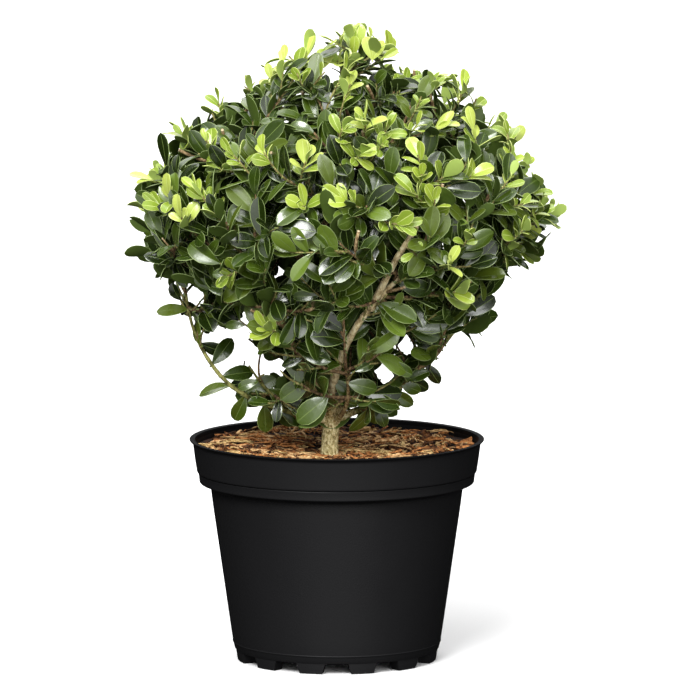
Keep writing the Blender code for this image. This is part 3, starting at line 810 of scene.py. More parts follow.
OUTER_SHOOTS = 420
INNER_SHOOTS = 110
PRUNED_STEMS = 64
DARK_INSET = (0.012, 0.030)
LIME_INSET = (0.004, 0.016)
INNER_INSET = (0.036, 0.062)
PRUNED_INSET, PRUNED_FROM = (0.010, 0.022), 0.22
HIGH_INSET, HIGH_EDGE = 0.006, 0.34  # how much deeper grown shoots end above this height
TUFT_INSET, TUFT_SPACE = 0.005, 0.012
TOP = 0.4128  # of the highest leaf
TRIED_DIRECTIONS = 14  # for each point on the outline
REACH_STEPS = np.arange(0.01, 0.2, 0.0015)
# The parts of twigs and boughs, by share, that shoots can leave
TWIG_SPAN, LIMB_SPAN = (0.12, 0.93), (0.45, 0.99)
# A shoot heads on as its carrier does and towards its own tip, and sags a little
HEADING_ON, HEADING_TO, SHOOT_SAG = 0.45, 0.55, 0.15
# What speaks against a carrier for a shoot, beside its distance in metres: a sharp turn, other
# shoots near by, too little rise and too short a shoot
TURN_COST, USE_COST, DROP_COST, SHORT_COST = 0.035, 0.008, 0.8, 10
USED_REACH, LEAST_RISE, LEAST_LENGTH = 0.005, 0.004, 0.013
# Tips of the young shoots that stand out of the crown or show most on it: x, y, z
TUFTS = (
    (0.01, -0.004, 0.407), (0.027, -0.008, 0.4), (0.036, 0.004, 0.399), (0, -0.01, 0.394),
    (-0.02, -0.004, 0.396), (-0.032, 0.006, 0.395), (-0.012, -0.016, 0.39), (-0.044, -0.006, 0.384),
    (-0.079, 0, 0.364), (0.045, -0.01, 0.379), (0.066, 0.004, 0.381), (0.085, -0.006, 0.375),
    (0.093, 0.01, 0.366), (0.113, -0.004, 0.345), (0.118, 0.01, 0.338), (0.117, -0.012, 0.324),
    (0.131, -0.006, 0.31), (0.143, 0.002, 0.29), (0.136, -0.01, 0.296), (0.126, -0.004, 0.272),
    (-0.104, 0.002, 0.344), (-0.122, -0.006, 0.313), (-0.115, 0.012, 0.319), (-0.128, 0.004, 0.296),
    (0.007, -0.05, 0.391), (0.018, -0.088, 0.363), (0.004, -0.093, 0.357), (0.016, -0.107, 0.342),
    (-0.018, -0.107, 0.341), (0.005, -0.124, 0.313), (0.053, -0.098, 0.34), (0.073, -0.095, 0.328),
    (0.05, -0.114, 0.317), (0.064, -0.111, 0.312), (0.042, -0.123, 0.297), (-0.086, -0.066, 0.346),
    (-0.102, -0.084, 0.297), (-0.092, -0.086, 0.317), (-0.072, -0.1, 0.26), (-0.046, -0.088, 0.223),
    (0.079, -0.084, 0.248), (0.088, -0.088, 0.325),
)
# Tips of the grown shoots that stand out of the crown
DARK_TIPS = (
    (0.09, -0.004, 0.222), (0.11, 0, 0.258), (-0.118, 0, 0.264), (-0.08, 0, 0.354),
    (0.082, 0, 0.372), (0.126, -0.004, 0.268),
)
# Materials of the twigs: name, darkest, middle and lightest colour. Cut ends have one more
BROWN, YOUNG, TAN, CUT_END = range(4)
TWIG_BARKS = (
    ("twig_brown", (58, 42, 28), (104, 82, 56), (150, 126, 90)),
    ("twig_green", (74, 66, 36), (120, 112, 64), (160, 154, 100)),
    ("twig_tan", (96, 74, 50), (146, 120, 84), (186, 164, 124)),
)


def any_way(rng):
    return Vector((rng.gauss(0, 1), rng.gauss(0, 1), rng.gauss(0, 1)))


def outline_points(rng, count):
    """Points spread evenly over the crown's outline, each with its direction from the core."""
    directions = []
    while len(directions) < count * TRIED_DIRECTIONS:
        directions.append(any_way(rng).normalized())
    directions = np.array(directions)
    reach = np.zeros(len(directions))
    inside = np.ones(len(directions), bool)
    core = np.array(CROWN_CORE)
    for step in REACH_STEPS:
        x, y, z = (core + directions * step).T
        inside &= np.hypot(x, y) <= crown_reach(x, y, z)
        reach[inside] = step
    edges = core + directions * reach[:, None]
    kept = [0]
    room = np.linalg.norm(edges - edges[0], axis=1)
    while len(kept) < count:
        kept.append(int(room.argmax()))
        room = np.minimum(room, np.linalg.norm(edges - edges[kept[-1]], axis=1))
    return edges[kept], directions[kept]


def main_twigs(courses):
    """The courses of the source's twigs, mass by mass."""
    twigs = []
    for name, tips in twig_tips().items():
        first = entry_share(name, courses[name])
        twigs += [twig_course(courses[name], first, tip) for tip in tips]
    return twigs


class Carriers:
    """Points along the twigs and boughs that finer shoots can leave."""

    def __init__(self, limbs, twigs):
        points, tangents = [], []
        for carriers, span in ((twigs, TWIG_SPAN), (limbs, LIMB_SPAN)):
            for course in carriers:
                for share in np.linspace(*span, 12):
                    points.append(curve_point(course, float(share)))
                    tangents.append(curve_tangent(course, float(share)))
        self.points, self.tangents = np.array(points), np.array(tangents)
        self.used = np.zeros(len(points))

    def course_to(self, tip):
        """The course of a shoot that ends at this tip, from the carrier that suits it best."""
        away = np.array(tip) - self.points
        length = np.linalg.norm(away, axis=1)
        ahead = (away * self.tangents).sum(1) / np.maximum(length, 1e-9)
        cost = length + TURN_COST * (1 - ahead) + USE_COST * self.used
        cost = cost + DROP_COST * np.maximum(0, LEAST_RISE - away[:, 2])
        cost = cost + SHORT_COST * np.maximum(0, LEAST_LENGTH - length)
        best = int(cost.argmin())
        self.used[np.linalg.norm(self.points - self.points[best], axis=1) < USED_REACH] += 1
        start = Vector(self.points[best])
        reach = (tip - start).length
        heading = Vector(self.tangents[best]) * HEADING_ON + (tip - start).normalized() * HEADING_TO
        out = Vector((tip.x, tip.y, 0)).normalized()
        sag = (out * 0.5 - UP) * reach * SHOOT_SAG
        middle = start + heading.normalized() * reach * 0.5 + sag
        return start, middle, tip


def shoot_shares(course, count, internode, last=0.99, first=0.15):
    length = (course[1] - course[0]).length + (course[2] - course[1]).length
    shares = [last - k * internode / length for k in range(count)]
    return [share for share in reversed(shares) if share >= first]


def beyond(point, drop=0.0):
    """How far a point lies outside the crown's outline, or outside it lowered by drop."""
    reach = float(crown_reach(point.x, point.y, point.z + drop))
    return math.hypot(point.x, point.y) - reach + 3 * max(0, point.z - TOP)


def ramp(value, start, width):
    """0 up to the start, then rising to 1 over the width."""
    return min(max((value - start) / width, 0), 1)


def fullness(point):
    """Share of the possible leaves that grow here: fewer low in the crown."""
    return 0.42 + 0.58 * ramp(point.z, 0.150, 0.070)


def lime_chance(point):
    """Share of the outer shoots with young leaves: most at the top and right, none low down."""
    x, _, z = point
    right = ramp(x, 0, 0.12) * ramp(z, 0.225, 0.05)
    return min(0.46, 0.36 * ramp(z, 0.262, 0.075) + 0.24 * right)


# What shows from the front

SIGHT_DROP = 0.1340  # seen from the front, a point lies higher by this share of its y
STEM_CLEAR = 0.0016
# Parts of the limbs that nothing hangs in front of: limb, from, to, half width
LANES = (
    ("trunk", 0.0, 1.0, 0.0080),
    ("front_right", 0.42, 0.88, 0.0052),
    ("left", 0.42, 0.92, 0.0034),
    ("low_left", 0.40, 0.70, 0.0036),
)
# Openings where the sky shows through the crown, seen from the front: x, height, radius
OPENINGS = (
    (-0.066, 0.204, 0.006), (-0.058, 0.198, 0.005), (-0.04, 0.19, 0.003), (-0.079, 0.209, 0.0035),
    (-0.074, 0.2, 0.0045), (-0.064, 0.192, 0.004), (-0.054, 0.187, 0.003), (-0.045, 0.178, 0.002),
    (-0.06, 0.222, 0.0025), (0.043, 0.205, 0.0045), (0.028, 0.186, 0.0038), (0.008, 0.166, 0.003),
    (0.044, 0.172, 0.003), (-0.036, 0.252, 0.0026), (-0.088, 0.236, 0.003), (-0.067, 0.374, 0.0045),
    (-0.03, 0.401, 0.004), (-0.004, 0.378, 0.003), (0.046, 0.395, 0.0065), (0.06, 0.386, 0.0045),
    (0.091, 0.373, 0.003), (0.101, 0.362, 0.0035), (0.119, 0.331, 0.004), (0.144, 0.299, 0.0025),
    (0.075, 0.202, 0.006), (0.067, 0.178, 0.0085), (0.046, 0.164, 0.0025), (-0.126, 0.322, 0.0025),
    (-0.12, 0.332, 0.0025), (-0.104, 0.352, 0.003), (-0.112, 0.229, 0.004),
)


def clear_lanes(courses):
    """Rows of points along the limbs that show from the front, each with a half width."""
    lanes = []
    for name, first, last, half in LANES:
        course = courses[name]
        points = [curve_point(course, float(s)) for s in np.linspace(first, last, 24)]
        lanes.append((np.array(points), half))
    return lanes


def stem_in_sight(courses):
    """Points of the pale stem, with their heights as seen from the front."""
    course = pale_stem(courses)
    points = [curve_point(course, float(s)) for s in np.linspace(0.10, 0.86, 24)]
    return np.array([(point.x, point.y, sight_height(point)) for point in points])


def sight_height(point):
    return point.z + SIGHT_DROP * point.y


def nearest(points, x, height):
    """How far the nearest of these points seems to be from the front, and its y."""
    apart = np.hypot(points[:, 0] - x, points[:, 2] - height)
    best = int(apart.argmin())
    return apart[best], points[best, 1]


def in_opening(point, share=1.0, margin=0.0):
    """Whether a point, seen from the front, is in this share of an opening, or this near it."""
    height = sight_height(point)
    return any(
        math.hypot(point.x - x, height - z) < radius * share + margin for x, z, radius in OPENINGS
    )


def through_sky(course):
    """Whether a twig would cross one of the openings."""
    return any(in_opening(curve_point(course, float(s)), 0.9) for s in np.linspace(0.25, 1, 9))


def in_sight_line(lanes, middle, length):
    """Whether a leaf would hang in front of a limb that shows, or in an opening."""
    for points, half in lanes:
        if middle.y <= points[:, 1].max():
            apart, y = nearest(points, middle.x, middle.z)
            if apart < half + length * 0.20 and middle.y < y:
                return True
    return in_opening(middle, margin=length * 0.30)


# Leaves

# A leaf's rings, by share of its length, and its columns, by share of its half width
LEAF_RINGS = np.array([-0.10, 0.03, 0.14, 0.29, 0.46, 0.63, 0.79, 0.92, 1.0])
UPPER = (-1, -0.94, -0.5, -0.04, 0.04, 0.5, 0.94, 1)
LOWER = (1, 0, -1)
COLUMNS = len(UPPER) + len(LOWER)
# What each lengthwise strip of a leaf is, and how many kinds there are beside the blade
BLADE, RIB, UNDERSIDE, MARGIN = range(4)
OTHER_FACES = 3
STRIP_KINDS = (MARGIN, BLADE, BLADE, RIB, BLADE, BLADE, MARGIN, MARGIN, UNDERSIDE, UNDERSIDE, MARGIN)
STALK_HALF, TIP_HALF = 0.00042, 0.00018
STALK_THICK, LEAF_THICK, TIP_THICK = 0.0007, 0.00034, 0.00012
RIB_DEPTH, RIB_END = 0.00012, 0.9
LEAST_BEND = 0.02
EDGE_WAVER = (0.965, 1.035)
WAVE_DEPTH, WAVE_TURNS = 0.05, 17
MOST_LEAVES = 1080
# Leaf materials: name, colour, roughness from and to, gloss. The blades come first, then the rib,
# the underside and the margin
OLD_LEAF = (
    ("leaf_dark_a", (46, 64, 13), 0.18, 0.31, 0.95),
    ("leaf_dark_b", (62, 81, 17), 0.19, 0.33, 0.95),
    ("leaf_dark_c", (26, 39, 5), 0.17, 0.29, 0.95),
    ("leaf_olive", (79, 95, 25), 0.20, 0.33, 0.95),
    ("leaf_mid", (95, 116, 38), 0.21, 0.34, 0.95),
    ("leaf_rib", (98, 116, 56), 0.34, 0.50, 0.45),
    ("leaf_under", (72, 91, 34), 0.42, 0.60, 0.35),
    ("leaf_margin", (134, 152, 94), 0.30, 0.45, 0.5),
)
DARK_LIME = 2
NEW_LEAF = (
    ("leaf_lime_a", (158, 178, 64), 0.20, 0.32, 0.75),
    ("leaf_lime_b", (180, 195, 90), 0.20, 0.32, 0.75),
    ("leaf_lime_c", (128, 151, 48), 0.20, 0.32, 0.75),
    ("new_leaf_rib", (200, 212, 128), 0.4, 0.55, 0.4),
    ("new_leaf_under", (150, 172, 84), 0.5, 0.65, 0.3),
    ("new_leaf_margin", (204, 216, 128), 0.35, 0.50, 0.4),
)


class Leaves:
    """Leaves of one kind, as rows of numbers. None of them hangs in front of the pale stem."""

    def __init__(self, stem):
        self.rows, self.stem = [], stem

    def add(self, root, axis, up, length, width, fold, curl, bend, twist, tint):
        if not self.before_stem(root, axis * length):
            self.rows.append((*root, *axis, *up, length, width, fold, curl, bend, twist, tint))

    def before_stem(self, root, reach):
        for share in (0.2, 0.4, 0.6, 0.8, 1.0):
            point = root + reach * share
            apart, y = nearest(self.stem, point.x, sight_height(point))
            half = 0.20 * reach.length * math.sin(math.pi * share)
            behind = point.y >= y + 0.003 or point.y > self.stem[:, 1].max()
            if apart < STEM_CLEAR + half and not behind:
                return True
        return False


def leaf_shapes(rows, outline, blades, rng):
    """Points, quads and slots of these leaves. The outline is given by two powers."""
    root, axis, up = rows[:, 0:3], unit(rows[:, 3:6]), unit(rows[:, 6:9])
    side = unit(np.cross(axis, up))
    root, axis, up, side = (vectors[:, None] for vectors in (root, axis, up, side))
    length, width, fold, curl, bend, twist, tint = rows[:, 9:].T[..., None]
    count, rings = len(rows), len(LEAF_RINGS)
    along = np.clip(LEAF_RINGS, 0, 1)
    rise, fall = outline
    shape = along**rise * (1 - along) ** fall
    shape = shape / (rise / (rise + fall)) ** rise / (fall / (rise + fall)) ** fall
    half = width / 2 * shape * rng.uniform(*EDGE_WAVER, (count, rings))
    half = np.maximum(half, STALK_HALF)
    half[:, -1] = TIP_HALF
    bend = np.where(np.abs(bend) < LEAST_BEND, LEAST_BEND, bend)
    theta = bend * along
    x = length * (np.sin(theta) / bend + np.minimum(LEAF_RINGS, 0))
    drop = -length * (1 - np.cos(theta)) / bend
    normal = up * np.cos(theta)[..., None] + axis * np.sin(theta)[..., None]
    turn = (twist * along)[..., None]
    across = side * np.cos(turn) + normal * np.sin(turn)
    normal = normal * np.cos(turn) - side * np.sin(turn)
    spine = root + axis * x[..., None] + up * drop[..., None]
    thick = np.array([STALK_THICK] * 2 + [LEAF_THICK] * (rings - 3) + [TIP_THICK])
    rib = np.where(LEAF_RINGS > RIB_END, 0, RIB_DEPTH)
    wave = 1 + WAVE_DEPTH * np.sin(along * WAVE_TURNS)
    columns = []
    for u in (*UPPER, *LOWER):
        lift = half * (abs(u) * np.sin(fold) - curl * u * u * wave)
        if len(columns) >= len(UPPER):
            lift = lift - thick
        elif abs(u) < 0.1:
            lift = lift - rib
        aside = half * u * np.cos(fold)
        columns.append(spine + across * aside[..., None] + normal * lift[..., None])
    points = np.stack(columns, 2).reshape(-1, 3)
    starts = np.arange(count) * rings * COLUMNS
    quads = ring_quads(rings, COLUMNS) + starts[:, None, None]
    kinds = np.array([[RIB] * COLUMNS] + [STRIP_KINDS] * (rings - 2)).ravel()
    slots = np.where(kinds == BLADE, tint, blades - 1 + kinds)
    return points, quads.reshape(-1, 4), slots.ravel()


def make_leaves(label, leaves, outline, table, draw):
    """Makes all the leaves of one kind, in layers of a size that a piece can hold."""
    materials = [leaf_material(*row) for row in table]
    leaves.rows.sort(key=lambda row: row[2])
    rows = np.array(leaves.rows)
    parts = math.ceil(len(rows) / MOST_LEAVES)
    for part in range(parts):
        layer = rows[len(rows) * part // parts:len(rows) * (part + 1) // parts]
        pile = Pile()
        pile.add(*leaf_shapes(layer, outline, len(table) - OTHER_FACES, draw))
        name = label if parts == 1 else f"{label}_{part + 1}"
        pile.make(name, materials, MASSES, "leaf", crease=48)


# Foliage

DARK_LENGTH = 0.0216
LIME_LENGTH = 0.0122
TUFT_LENGTH = 0.0140
TOP_LENGTH = 0.0192
TOP_FROM = 0.395  # lowest tuft that has the long leaves of the top
# Widths by length, and the powers that give the outline of a leaf
OLD_RATIO, OLD_OUTLINE = 0.49, (0.92, 0.62)
NEW_RATIO, NEW_OUTLINE = 0.53, (0.96, 0.52)
# Angles from the shoot at its tip and foot, for grown leaves, for young ones and those below them
OLD_SPREADS, NEW_SPREADS, BELOW_SPREADS = (0.62, 1.22), (0.20, 0.85), (0.70, 0.95)
SPREAD_WAVER, TURN_WAVER, TWIST_WAVER = 0.14, 0.25, 0.25
# Ranges of the leaves' sizes and widths as shares, and of their folds, curls and bends
SIZES, WIDTHS = (0.62, 1.26), (0.84, 1.16)
FOLDS, CURLS = (0.10, 0.50), (0.04, 0.26)
BENDS, BACK_BENDS, BENT_DOWN = (0.05, 0.95), (-0.4, 0), 0.85  # most bend down, the rest back
# The same of single leaves: width by length, fold, curl and bend
LEAFLET_SHAPE = ((0.50, 0.58), (0.06, 0.3), (0.05, 0.2), (0.05, 0.6))
TOP_LEAF_SHAPE = ((0.50, 0.62), (0.15, 0.5), (0.05, 0.25), (0.1, 0.6))
# What turns a leaf's tip: the way out of the crown, and the light above
TIP_OUT, TIP_UP = 0.08, 0.10
# What turns its upper face: the shoot's tip, the way out of the crown, the light, and chance
FACE_ALONG, FACE_OUT, FACE_UP, FACE_LOOSE = 0.40, 0.85, 0.40, 0.40
LEAF_STEP, YOUNG_STEP = (0.0036, 0.0052), 0.0019
YOUNG_COUNTS = (5, 6, 6, 7, 8)
UPPER_CROWN = 0.33
HIGH_DROP = 0.010  # how far under the outline grown leaves end in the upper crown
# How far beyond the outline leaves may reach: of young shoots, tufts and standing tips
YOUNG_ROOM, TUFT_ROOM, TIP_ROOM = 0.004, 0.007, 0.008
# Radii of shoots at the foot and the tip
SHOOT, THIN_SHOOT, OLD_STEM = (0.0010, 0.0006), (0.0009, 0.0005), (0.0013, 0.0010)
TWIG = (TWIG_RADIUS, TWIG_TIP_RADIUS)
# Leaves hang apart by a share of their length, measured between their middles
LEAF_MIDDLE = 0.55
LEAF_GAP = 0.26
TRIES = 6
TRY_TURN = 1.05
# How often each tint comes, on the outer shoots, on those within and on the young ones. Those within
# lean to the darkest tint, as painted shade deep in the crown
TINT_WEIGHTS = (36, 26, 18, 12, 8)
INNER_SHADED_TINT_WEIGHTS = (30, 10, 54, 5, 1)
NEW_TINT_WEIGHTS = (36, 28, 36)
# Single leaves that hang from the lower limbs: limb, share of it, the way to the leaf's tip to the
# right and up, and how far its face looks up
LEAFLETS = (
    ("left", 0.36, -0.007, -0.017, -0.3), ("left", 0.27, 0.001, -0.018, -0.2),
    ("left", 0.2, 0.016, -0.008, 0), ("left", 0.44, -0.019, -0.003, 1.9),
    ("left", 0.57, 0.012, 0.014, -0.2), ("left", 0.37, 0.019, 0.009, 0.2),
    ("left", 0.83, -0.018, 0, 1.2), ("left", 0.5, 0.019, 0.004, 0.5),
    ("left", 0.68, 0.014, -0.006, -0.2), ("low_left", 0.55, 0.017, -0.011, 0),
    ("right", 0.46, 0.008, -0.013, -0.2), ("right", 0.36, 0.012, -0.008, 0),
    ("low_right", 0.57, 0.012, -0.005, 0.2), ("low_right", 0.26, -0.003, -0.017, -0.3),
    ("low_right", 0.08, -0.004, -0.015, -0.1), ("low_right", 0.42, 0.013, -0.009, -0.2),
    ("low_right", 0.66, 0.008, 0.013, 0.1), ("front_left", 0.34, -0.016, -0.012, -0.1),
    ("front_left", 0.16, -0.017, -0.009, 0.1), ("front_right", 0.26, 0.016, -0.014, -0.1),
    ("front_right", 0.2, 0.017, -0.012, -0.3), ("low_front", 0.8, 0.017, -0.004, 0.1),
)
# Young leaves of the topmost shoots: foot and the way to the tip
TOP_LEAVES = (
    ((0.0105, -0.004, 0.3935), (-0.003, 0, 0.0185)),
    ((0.011, -0.004, 0.3935), (0.003, -0.002, 0.019)),
    ((0.0108, -0.005, 0.391), (0.0002, -0.005, 0.013)),
    ((0.0225, -0.008, 0.389), (-0.004, -0.002, 0.015)),
    ((0.023, -0.008, 0.389), (0.0065, -0.002, 0.0125)),
    ((0.029, -0.008, 0.39), (0.01, -0.002, 0.006)),
    ((-0.002, -0.008, 0.388), (-0.01, -0.003, 0.0075)),
    ((-0.0015, -0.008, 0.388), (-0.003, -0.003, 0.012)),
    ((0, -0.008, 0.387), (0.008, -0.004, 0.009)),
)


def leaf_up(axis, tangent, root, rng):
    """The way a leaf's upper face looks: out of the crown, to the light and its shoot's tip."""
    outward = (root - CROWN_CORE).normalized()
    loose = any_way(rng) * FACE_LOOSE
    return square_to(tangent * FACE_ALONG + outward * FACE_OUT + UP * FACE_UP + loose, axis)


class Spacing:
    """Middles of the leaves placed so far, so that two don't lie in one place."""

    def __init__(self, cell):
        self.cell, self.cells = cell, {}

    def key(self, point):
        return tuple(int(math.floor(c / self.cell)) for c in point)

    def free(self, point, gap):
        i, j, k = self.key(point)
        for a, b, c in itertools.product((-1, 0, 1), repeat=3):
            near = self.cells.get((i + a, j + b, k + c), ())
            if any((other - point).length < gap for other in near):
                return False
        return True

    def add(self, point):
        self.cells.setdefault(self.key(point), []).append(point)


class Foliage:
    """Adds shoots with their leaves, keeping the leaves apart and inside the crown."""

    def __init__(self, courses):
        self.rng = random.Random("foliage")
        stem = stem_in_sight(courses)
        self.old, self.new, self.wood = Leaves(stem), Leaves(stem), Pile()
        self.spacing = Spacing(0.008)
        self.lanes = clear_lanes(courses)

    def stick(self, course, radii, slot):
        thick, thin = radii
        shares, points = course_points(course, 0.005)
        self.wood.add(*tube(points, thick + (thin - thick) * shares, 6), slot)

    def leafy(self, leaves, course, shares, length, ratio, tint, spreads, room, drop):
        """Leaves at these shares of a shoot, by the golden angle."""
        rng = self.rng
        turn = rng.uniform(0, math.tau)
        for index, share in enumerate(shares):
            turn += GOLDEN_ANGLE
            root, tangent = curve_point(course, share), curve_tangent(course, share)
            side = tangent.orthogonal().normalized()
            other = tangent.cross(side)
            age = 1 - index / max(len(shares) - 1, 1)
            spread = spreads[0] + (spreads[1] - spreads[0]) * age + rng.gauss(0, SPREAD_WAVER)
            size = length * rng.uniform(*SIZES)
            if rng.random() > fullness(root):
                continue
            for attempt in range(TRIES):
                angle = turn + rng.gauss(0, TURN_WAVER) + attempt * TRY_TURN
                out = side * math.cos(angle) + other * math.sin(angle)
                axis = tangent * math.cos(spread) + out * math.sin(spread)
                outward = (root - CROWN_CORE).normalized()
                axis = (axis + outward * TIP_OUT + UP * TIP_UP).normalized()
                middle = root + axis * size * LEAF_MIDDLE
                if beyond(root + axis * size, drop) > room:
                    continue
                if in_sight_line(self.lanes, middle, size):
                    continue
                if not self.spacing.free(middle, size * LEAF_GAP):
                    continue
                self.spacing.add(middle)
                leaves.add(
                    root, axis, leaf_up(axis, tangent, root, rng), size,
                    size * ratio * rng.uniform(*WIDTHS),
                    rng.uniform(*FOLDS), rng.uniform(*CURLS),
                    rng.uniform(*(BENDS if rng.random() < BENT_DOWN else BACK_BENDS)),
                    rng.gauss(0, TWIST_WAVER), tint,
                )
                break

    def single(self, leaves, root, axis, up, size, shape, weights):
        """One leaf at a place of its own, its shape within these ranges."""
        rng = self.rng
        self.spacing.add(root + axis * LEAF_MIDDLE)
        axis = axis.normalized()
        ratio, fold, curl, bend = (rng.uniform(*span) for span in shape)
        leaves.add(
            root, axis, square_to(up, axis), size, size * ratio, fold, curl, bend,
            rng.gauss(0, 0.2), pick(rng, weights),
        )

    def leaflet(self, course, share, aside, rise, facing):
        """One grown leaf on a limb, hanging the given way."""
        rng = self.rng
        root, axis = curve_point(course, share), Vector((aside, 0.002, rise))
        size = axis.length * rng.uniform(1.05, 1.2)
        up = Vector((root.x * 0.5, -1, facing + rng.uniform(-0.12, 0.12))).normalized()
        self.single(self.old, root, axis, up, size, LEAFLET_SHAPE, TINT_WEIGHTS)

    def young_leaf(self, root, axis):
        """One young leaf at the crown's very top."""
        up = Vector((self.rng.uniform(-0.4, 0.4), -1, self.rng.uniform(0, 0.6)))
        self.single(self.new, root, axis, up, axis.length, TOP_LEAF_SHAPE, NEW_TINT_WEIGHTS)

    def grown(self, course, count, last=0.985, length=DARK_LENGTH, room=0.0, weights=TINT_WEIGHTS):
        """Grown leaves along a shoot, of one tint."""
        tint = pick(self.rng, weights)
        length *= 1.06 - 0.24 * ramp(course[2].z, 0.27, 0.12)
        drop = HIGH_DROP if course[2].z > UPPER_CROWN else 0.0
        shares = shoot_shares(course, count, self.rng.uniform(*LEAF_STEP), last)
        self.leafy(self.old, course, shares, length, OLD_RATIO, tint, OLD_SPREADS, room, drop)

    def young(self, course, length, room=YOUNG_ROOM):
        """A cluster of young leaves at a shoot's tip, the lower third longer and darker."""
        tint = pick(self.rng, NEW_TINT_WEIGHTS)
        shares = shoot_shares(course, self.rng.choice(YOUNG_COUNTS), YOUNG_STEP, 0.995, 0.5)
        older = len(shares) // 3
        for part, size, kind, spreads in (
            (shares[:older], length * 1.1, DARK_LIME, BELOW_SPREADS),
            (shares[older:], length, tint, NEW_SPREADS),
        ):
            self.leafy(self.new, course, part, size, NEW_RATIO, kind, spreads, room, 0)

    def pruned(self, course):
        """An old stem that was cut back, with its pale end."""
        self.stick(course, OLD_STEM, TAN)
        end, tangent = course[2], curve_tangent(course, 1)
        tip = np.array([end - tangent * 0.0004, end + tangent * 0.0003])
        self.wood.add(*tube(tip, [0.00102, 0.00095], 8), CUT_END)


def build_foliage(courses):
    twigs = [twig for twig in main_twigs(courses) if not through_sky(twig)]
    carriers = Carriers([courses[name] for name in CENTRES], twigs)
    growth = Foliage(courses)
    for limb, *leaf in LEAFLETS:
        growth.leaflet(courses[limb], *leaf)
    for root, axis in TOP_LEAVES:
        growth.young_leaf(Vector(root), Vector(axis))
    tufts = [Vector(tuft) for tuft in TUFTS]
    for tip in tufts:
        course = carriers.course_to(tip - (tip - CROWN_CORE).normalized() * TUFT_INSET)
        growth.stick(course, SHOOT, YOUNG)
        growth.young(course, TOP_LENGTH if tip.z > TOP_FROM else TUFT_LENGTH, TUFT_ROOM)
        growth.grown(course, 5, 0.62)
    for tip in DARK_TIPS:
        course = carriers.course_to(Vector(tip))
        growth.stick(course, SHOOT, YOUNG)
        growth.grown(course, 6, room=TIP_ROOM)
    add_pruned(growth, carriers)
    for course in twigs:
        growth.stick(course, TWIG, BROWN)
        # Leaves along the main twigs lean to the darkest tint, as painted shade deep in the crown
        growth.grown(course, 9, weights=INNER_SHADED_TINT_WEIGHTS)
    add_outer(growth, carriers, tufts)
    add_inner(growth, carriers)
    draw = np.random.default_rng(7)
    make_leaves("old_leaves", growth.old, OLD_OUTLINE, OLD_LEAF, draw)
    make_leaves("new_leaves", growth.new, NEW_OUTLINE, NEW_LEAF, draw)
    make_twigs(growth.wood)


def add_pruned(growth, carriers):
    for edge, direction in zip(*outline_points(growth.rng, PRUNED_STEMS)):
        if edge[2] > PRUNED_FROM:
            inset = growth.rng.uniform(*PRUNED_INSET)
            course = carriers.course_to(Vector(edge - direction * inset))
            if not through_sky(course):
                growth.pruned(course)


def add_outer(growth, carriers, tufts):
    """Shoots that end near the crown's outline, some of them with young leaves."""
    rng = growth.rng
    for edge, direction in zip(*outline_points(rng, OUTER_SHOOTS)):
        lime = rng.random() < lime_chance(edge)
        inset = rng.uniform(*(LIME_INSET if lime else DARK_INSET))
        if not lime and edge[2] > HIGH_EDGE:
            inset += HIGH_INSET
        tip = Vector(edge - direction * inset)
        if min((tip - tuft).length for tuft in tufts) < TUFT_SPACE:
            continue
        course = carriers.course_to(tip)
        if through_sky(course):
            continue
        growth.stick(course, THIN_SHOOT, YOUNG)
        if lime:
            growth.young(course, LIME_LENGTH * rng.uniform(0.85, 1.15))
            growth.grown(course, 7, 0.84, DARK_LENGTH * 0.95)
        else:
            growth.grown(course, 9)


def add_inner(growth, carriers):
    """Shoots with dark leaves deeper in the crown, mostly of the darkest tint as painted shade."""
    for edge, direction in zip(*outline_points(growth.rng, INNER_SHOOTS)):
        inset = growth.rng.uniform(*INNER_INSET)
        course = carriers.course_to(Vector(edge - direction * inset))
        if not through_sky(course):
            growth.stick(course, SHOOT, BROWN)
            growth.grown(course, 7, weights=INNER_SHADED_TINT_WEIGHTS)


def make_twigs(wood):
    materials = [bark_material(*row, 700) for row in TWIG_BARKS]
    wood.make("twigs", [*materials, cut_material()], MASSES, "bark")


# Studio

CAMERA_PLACE = Vector((0.0072, -5.0, 0.870))
CAMERA_AIM = Vector((0.0072, 0.0, 0.2020))
PHOTO_SIDE = 696
FOCAL_PIXELS = 7837


def build_camera():
    data = bpy.data.cameras.new("camera")
    data.sensor_width = 36
    data.lens = FOCAL_PIXELS * data.sensor_width / PHOTO_SIDE
    data.clip_end = 60
    camera = in_scene("camera", data)
    camera.location = CAMERA_PLACE
    camera.rotation_euler = (CAMERA_AIM - CAMERA_PLACE).to_track_quat("-Z", "Y").to_euler()
    bpy.context.scene.camera = camera


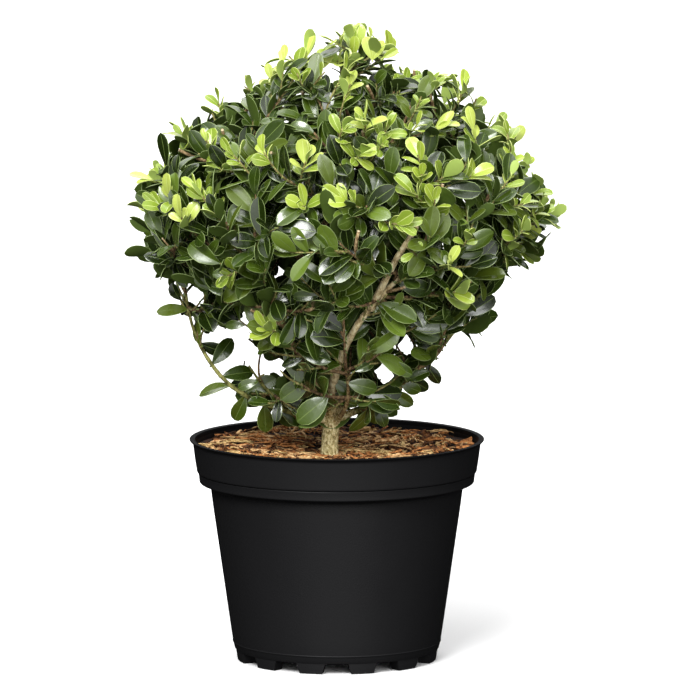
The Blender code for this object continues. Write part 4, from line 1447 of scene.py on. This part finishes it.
def soft_sun(name, azimuth, elevation, strength, width):
    """A broad far light, so the floor is equally bright all over."""
    data = bpy.data.lights.new(name, "SUN")
    data.energy = strength
    data.angle = math.radians(width)
    height = math.radians(elevation)
    towards = polar(azimuth, math.cos(height), math.sin(height))
    in_scene(name, data).rotation_euler = towards.to_track_quat("Z", "Y").to_euler()


FLOOR_REACH = 20
# Broad lights: azimuth and elevation in degrees, strength, and width in degrees
SUNS = {
    "key": (-112, 41, 3.40, 28),
    "fill": (-66, 22, 1.28, 34),
    "front": (-92, -8, 0.76, 70),
    "top": (-90, 74, 0.60, 24),
    "back": (90, 50, 1.50, 50),
}
SKY_FACING = (0, -0.62, 0.78)
SKY_LOW = 0.015
SKY_HIGH = 0.96


def build_world():
    """A studio sky that is brightest above and a little to the front."""
    world = bpy.data.worlds.new("studio")
    world.use_nodes = True
    bpy.context.scene.world = world
    place = add_node(world, "TexCoord").outputs["Generated"]
    tilt = add_node(world, "VectorMath", Vector=place)
    tilt.operation = "DOT_PRODUCT"
    tilt.inputs[1].default_value = SKY_FACING
    spread = add_node(
        world, "MapRange", Value=tilt.outputs["Value"], From_Min=0.10, To_Min=SKY_LOW, To_Max=SKY_HIGH
    )
    background = world.node_tree.nodes["Background"]
    set_inputs(world, background, Strength=spread.outputs["Result"], Color=(1, 1, 1, 1))


def build_studio():
    mesh = bpy.data.meshes.new("floor")
    corners = [(x * FLOOR_REACH, y * FLOOR_REACH, 0) for x, y in ((-1, -1), (1, -1), (1, 1), (-1, 1))]
    mesh.from_pydata(corners, [], [(0, 1, 2, 3)])
    mesh.materials.append(new_material("floor_pale", (0.95, 0.95, 0.95), 0.9, 0.1))
    floor = in_scene("floor", mesh)
    floor.visible_glossy = False
    floor.visible_diffuse = False
    floor.visible_shadow = False
    build_world()
    for name, row in SUNS.items():
        soft_sun(name, *row)
    view = bpy.context.scene.view_settings
    view.view_transform = "Standard"
    view.look = "None"


build_camera()
courses = limb_courses()
build_pot()
build_mulch()
build_wood(courses)
build_foliage(courses)
build_studio()
